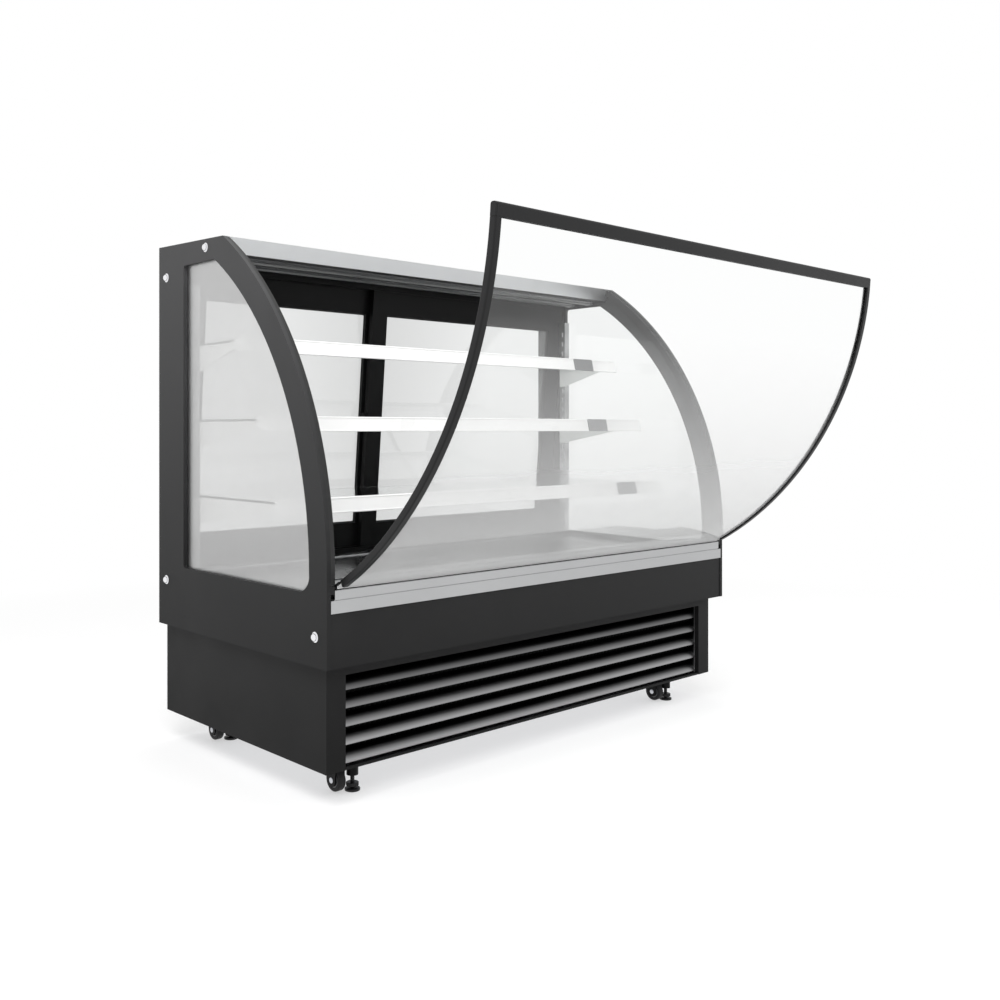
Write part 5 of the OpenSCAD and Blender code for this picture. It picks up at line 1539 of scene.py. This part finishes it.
@dataclass
class Cabinet:
    """The louvre's blades and dust filter, and the rear cover's screws and vent hoods."""

    shop: Workshop
    slat_z: float = 82.0
    pitch: float = 38.0
    slats: int = 5
    front: float = 44.0
    half: float = 625.0
    cover_y: float = 700.0
    screw_xs: tuple[float, ...] = (-655.0, -340.0, 0.0, 340.0, 655.0)
    screw_zs: Corner = (84.0, 284.0)
    vent_x: float = 220.0
    vent_half: float = 108.0
    vents: int = 9
    vent_z: float = 91.0
    vent_pitch: float = 16.0
    filter_y: float = 70.0
    filter_z: Corner = (75.6, 268.0)
    filter_t: float = 1.5
    pleat: float = 14.0
    pleat_rise: float = 1.6
    pleat_spans: int = 720
    blade_lip: float = 3.0
    blade_r: float = 31.0
    sheet: float = 1.6
    slopes: Corner = (75.0, 15.0)

    def build(self) -> None:
        """Makes the louvre, its filter, the screws, and the rear cover's slot lips."""
        self.blades()
        self.filter_mat()
        head = [(0.0, 0.0), (0.0, 5.0), (0.9, 4.7), (1.8, 3.4), (2.1, 1.6), (1.3, 1.3), (1.3, 0.0)]
        screws = [turned(head, (x, self.cover_y, z), 1, 24) for x in self.screw_xs for z in self.screw_zs]
        self.shop.piece("rear_cover_screws", screws, ZINC)
        section = np.array([(-0.4, 5.6), (0.2, 8.4), (3.4, 4.6), (3.4, 3.8), (0.6, 6.6)])
        hoods = [bar_along(0, softened(section + [self.cover_y, self.vent_z + self.vent_pitch * i], 0.5, 2),
                           side * self.vent_x - self.vent_half, side * self.vent_x + self.vent_half, 1.6)
                 for side in (-1, 1) for i in range(self.vents)]
        self.shop.piece("rear_vent_hoods", hoods, CHARCOAL)

    def blades(self) -> None:
        """The louvre's blades between two end plates, and the toe strip under them.

        A blade's face stands upright for a lip, then curves back on a circle whose slope s
        falls from one angle s0 to another: depth r(sin s0 - sin s), height
        r(cos s - cos s0). The back face follows it one sheet thickness inside.
        """
        s = np.radians(np.linspace(*self.slopes, 16))
        y = self.blade_r * (math.sin(s[0]) - np.sin(s))
        z = self.blade_lip + self.blade_r * (np.cos(s) - math.cos(s[0]))
        face = np.concatenate([[(0.0, 0.0)], np.stack([y, z], 1)])
        along = np.gradient(face, axis=0)
        along /= np.linalg.norm(along, axis=1, keepdims=True)
        back = face + self.sheet * np.stack([along[:, 1], -along[:, 0]], 1)
        outline = np.concatenate([face, back[::-1]]) + [self.front, 0.0]
        shells = [bar_along(0, outline + [0.0, self.slat_z + self.pitch * i], -self.half - 0.8, self.half + 0.8, 0.0)
                  for i in range(self.slats)]
        plate = block((self.half + 0.7, self.front, 75.0), (self.half + 3.7, self.front + 19.0, 268.7), 2, 0.6)
        shells += plate.both_ends()
        self.shop.piece("louvre_blades", shells, SLAT_METAL, replaces=["louvre_grille"])
        toe = softened([(33.4, 72.0), (35.0, 72.0), (35.0, 75.0), (43.4, 75.0), (43.4, 77.5), (33.4, 77.5)],
                       [0.3, 0.3, 0.1, 0.3, 0.6, 0.8], 3)
        self.shop.piece("louvre_toe_strip", [bar_along(0, toe, -self.half - 2, self.half + 2, 0.3)], BLACK_PAINT)

    def filter_mat(self) -> None:
        """The pleated dust filter behind the slats: its depth is y0 + h cos(2 pi x / p), one mat thick.

        The ends are strips of quads between the two faces, because one wavy cap wouldn't
        fill well.
        """
        x = np.linspace(-self.half, self.half, self.pleat_spans + 1)
        wave = self.filter_y + self.pleat_rise * np.cos(2 * math.pi * x / self.pleat)
        outline = np.concatenate([np.stack([x, wave], 1), np.stack([x[::-1], wave[::-1] + self.filter_t], 1)])
        n = len(outline)
        rings = np.empty((2, n, 3))
        rings[..., :2] = outline
        rings[..., 2] = np.array(self.filter_z)[:, None]
        top = np.arange(self.pleat_spans)
        ends = np.stack([top, top + 1, n - 2 - top, n - 1 - top], 1)
        mat = Shell(rings.reshape(-1, 3), np.concatenate([loft(rings).quads, ends, ends[:, ::-1] + n]))
        self.shop.piece("louvre_dust_filter", [mat], FILTER, crease=60)


@dataclass
class Controls:
    """The controller's window, figures and keys, and the switches' bezels."""

    shop: Workshop
    face_y: float = 705.0
    cover_y: float = 700.0
    window_y: Corner = (-0.4, 0.5)
    window_x: Corner = (-6.0, 33.0)
    window_half: float = 11.0
    figure_y: Corner = (0.5, 1.0)
    figures: tuple[tuple[float, str], ...] = ((22.0, "abcdg"), (11.0, "abcdef"))
    point_low: Corner = (16.0, -7.2)
    point_w: float = 1.4
    key_y: Corner = (-0.5, 1.2)
    key_low: Corner = (-33.0, -10.0)
    key_size: Corner = (9.0, 8.0)
    key_pitch: Corner = (12.0, 11.5)
    bezel_half: Corner = (8.2, 12.4)

    def lit(self, low: Corner, high: Corner) -> Shell:
        """A lit bar on the window, from its lowest and highest corners of x and height."""
        return block((low[0], self.face_y + self.figure_y[0], low[1]),
                     (high[0], self.face_y + self.figure_y[1], high[1]), 0, 0.3)

    def key(self, x: float, z: float) -> Shell:
        """A soft-edged key on the face, from its lowest x and height."""
        return block((x, self.face_y + self.key_y[0], z),
                     (x + self.key_size[0], self.face_y + self.key_y[1], z + self.key_size[1]), 1, 1.6)

    def digit(self, x: float, z: float, letters: str) -> list[Shell]:
        """Makes one seven-segment figure.

        Args:
            x: Its middle along the case.
            z: Its middle's height.
            letters: The letters of its lit segments.

        Returns:
            One bar for each lit segment.
        """
        w, h, t = 7.0, 6.5, 1.3
        bars = {"a": (0, h, 1), "g": (0, 0, 1), "d": (0, -h, 1), "f": (-1, h / 2, 0), "b": (1, h / 2, 0),
                "e": (-1, -h / 2, 0), "c": (1, -h / 2, 0)}
        shells = []
        for letter in letters:
            side, up, flat = bars[letter]
            cx, cz = x - side * w / 2, z + up
            dx, dz = (w / 2 - t, t / 2) if flat else (t / 2, h / 2 - t / 2)
            shells.append(self.lit((cx - dx, cz - dz), (cx + dx, cz + dz)))
        return shells

    def bezel(self, node: str) -> Shell:
        """Makes a raised rim round a rocker.

        Args:
            node: The switch's node.

        Returns:
            The rim.
        """
        low, high = box_mm(node)
        x, z = (low[0] + high[0]) / 2, (low[2] + high[2]) / 2
        wide, tall = self.bezel_half
        path = softened(rectangle((x - wide, z - tall), (x + wide, z + tall)), 2.0, 4)
        rise = np.array([0.0, 1.6, 1.6, 0.0])
        grow = np.array([1.6, 1.2, -0.6, -0.6])
        return loft(rim(path, grow, self.cover_y + rise).transpose(1, 0, 2), looped=True)

    def build(self) -> None:
        """Makes the window, the figures, the keys and the rockers' bezels."""
        low, high = box_mm("controller")
        x, z = (low[0] + high[0]) / 2, (low[2] + high[2]) / 2
        window = block((x + self.window_x[0], self.face_y + self.window_y[0], z - self.window_half),
                       (x + self.window_x[1], self.face_y + self.window_y[1], z + self.window_half), 0, 0.4)
        self.shop.piece("controller_window", [window], GLOSS_BLACK)
        figures = [bar for aside, letters in self.figures for bar in self.digit(x + aside, z, letters)]
        px, pz = x + self.point_low[0], z + self.point_low[1]
        figures.append(self.lit((px, pz), (px + self.point_w, pz + self.point_w)))
        self.shop.piece("controller_figures", figures, DIGITS)
        keys = [self.key(x + self.key_low[0] + self.key_pitch[0] * i, z + self.key_low[1] + self.key_pitch[1] * j)
                for i in (0, 1) for j in (0, 1)]
        self.shop.piece("controller_keys", keys, GREY_PLASTIC)
        bezels = [self.bezel(node) for node in ("light_switch", "power_switch")]
        self.shop.piece("switch_bezels", bezels, BLACK_PLASTIC)


@dataclass(frozen=True)
class Lamp:
    """A square soft lamp: where it hangs, what it looks at, its size in metres and its watts."""

    name: str
    place: Place
    aim: Place
    size: float
    power: float

    def hang(self) -> None:
        """Adds the lamp, which only lights: the camera, mirrors and glass don't show it."""
        data = bpy.data.lights.new(self.name, "AREA")
        data.shape, data.size, data.energy = "SQUARE", self.size, self.power
        made = bpy.data.objects.new(self.name, data)
        x, y, z = np.asarray(self.aim, float) - np.asarray(self.place, float)
        made.rotation_euler = (math.atan2(math.hypot(x, y), -z), 0, math.atan2(-x, y))
        made.location = self.place
        made.visible_camera = made.visible_glossy = made.visible_transmission = False
        bpy.context.scene.collection.objects.link(made)


@dataclass
class Studio:
    """Pale floor, soft lamps, white backdrop and the photograph's camera."""

    lens: float = 37.57
    sensor: float = 36.0
    shift: Corner = (0.0583, -0.0707)
    place: Place = (-1.9222, -1.69691, 0.7751)
    forward: Corner = (0.6698, 0.7426)
    ambient: float = 0.5
    floor_z: float = -0.0005
    floor_rings: tuple[float, ...] = (0.0, 2.0, 6.0, 14.0, 30.0)
    floor_fades: Corner = (1.2, 3.2)
    lamps: tuple[Lamp, ...] = (
        Lamp("key", (-2.2, -2.6, 3.4), (0, 0, 0.7), 2.2, 62.0),
        Lamp("overhead", (0.2, 0.4, 3.8), (0, 0, 0.6), 2.6, 66.0),
        Lamp("side", (3.0, -1.8, 1.8), (0, 0, 0.7), 2.0, 40.0),
        Lamp("left", (-1.75, -0.35, 2.2), (-0.7, 0.1, 0.9), 1.1, 24.0),
    )

    def camera(self) -> None:
        """Puts the level camera where the photograph was taken from."""
        data = bpy.data.cameras.new("camera")
        data.lens, data.sensor_width = self.lens, self.sensor
        data.shift_x, data.shift_y = self.shift
        data.clip_end = 100.0
        made = bpy.data.objects.new("camera", data)
        made.location = (self.place[0], self.place[1] + FRONT, self.place[2])
        made.rotation_euler = (math.pi / 2, 0, -math.atan2(self.forward[0], self.forward[1]))
        bpy.context.scene.collection.objects.link(made)
        bpy.context.scene.camera = made

    def world(self) -> None:
        """A plain white surround: white to the camera, mirrors and glass, softer as light."""
        world = bpy.data.worlds.new("studio")
        bpy.context.scene.world = world
        graph = Graph(world, "OutputWorld")
        path = graph.node("LightPath")
        seen = graph.largest(path.outputs["Is Camera Ray"], path.outputs["Is Glossy Ray"],
                             path.outputs["Is Transmission Ray"])
        back = graph.node("Background", Color=(1, 1, 1, 1))
        graph.link(graph.ranged(seen, self.ambient, 1.0, 0.0, 1.0), back.inputs["Strength"])
        graph.surfaced(back.outputs[0])

    def floor_card(self) -> bpy.types.Material:
        """Builds the floor's material.

        Near the object it is dull card that takes the shadow, lifted by half its white
        for whoever sees it. It turns plain white further out, and to mirrors.

        Returns:
            The material.
        """
        graph = Graph(bpy.data.materials.new("floor_card"))
        dull = graph.node("BsdfDiffuse", Color=(0.5, 0.5, 0.5, 1))
        glow = graph.node("Emission", Strength=0.5)
        lifted = graph.node("AddShader")
        graph.link(dull.outputs[0], lifted.inputs[0])
        graph.link(glow.outputs[0], lifted.inputs[1])
        white = graph.node("Emission", Strength=1.0)
        where = graph.node("TexCoord")
        length = graph.node("VectorMath", operation="LENGTH")
        graph.link(where.outputs["Object"], length.inputs[0])
        far = graph.ranged(length.outputs["Value"], 0.0, 1.0, *self.floor_fades)
        path = graph.node("LightPath")
        seen = graph.largest(path.outputs["Is Camera Ray"], path.outputs["Is Transmission Ray"])
        near = graph.mixed(seen, dull.outputs[0], lifted.outputs[0])
        return graph.surfaced(graph.mixed(graph.largest(far, path.outputs["Is Glossy Ray"]), near,
                                          white.outputs[0]))

    def floor(self) -> None:
        """A round pale floor: rings of points r(cos a, sin a) just under the feet."""
        rings = np.array(self.floor_rings)[:, None]
        angle = np.linspace(0, 2 * math.pi, 64, endpoint=False)
        points = np.stack([rings * np.cos(angle), rings * np.sin(angle),
                           np.full((len(rings), len(angle)), self.floor_z)], -1)
        shell = loft(points)
        mesh = bpy.data.meshes.new("floor")
        mesh.from_pydata(shell.points, [], shell.quads[:, ::-1].tolist())
        mesh.materials.append(self.floor_card())
        made = bpy.data.objects.new("floor", mesh)
        bpy.context.scene.collection.objects.link(made)

    def build(self) -> None:
        """Sets the camera, the surround, the floor, the lamps and the view."""
        self.camera()
        self.world()
        self.floor()
        for lamp in self.lamps:
            lamp.hang()
        bpy.context.scene.view_settings.view_transform = "Standard"


def main() -> None:
    """Dresses the frame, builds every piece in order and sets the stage."""
    logging.basicConfig(level=logging.INFO, format="%(message)s")
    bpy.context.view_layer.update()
    Studio().build()
    shop = Workshop()
    for node, finish in NODE_FINISHES.items():
        shop.dress(node, finish)
    curve = Curve()
    for part in (FrontScreen(shop, curve), EndPanels(shop), Canopy(shop), RearDoors(shop), Shelving(shop),
                 Casters(shop), MachineBay(shop), Cabinet(shop), Controls(shop)):
        part.build()
        log.info("%s done", type(part).__name__)
    log.info("%d pieces in all", shop.count)


if __name__ == "__main__":
    main()
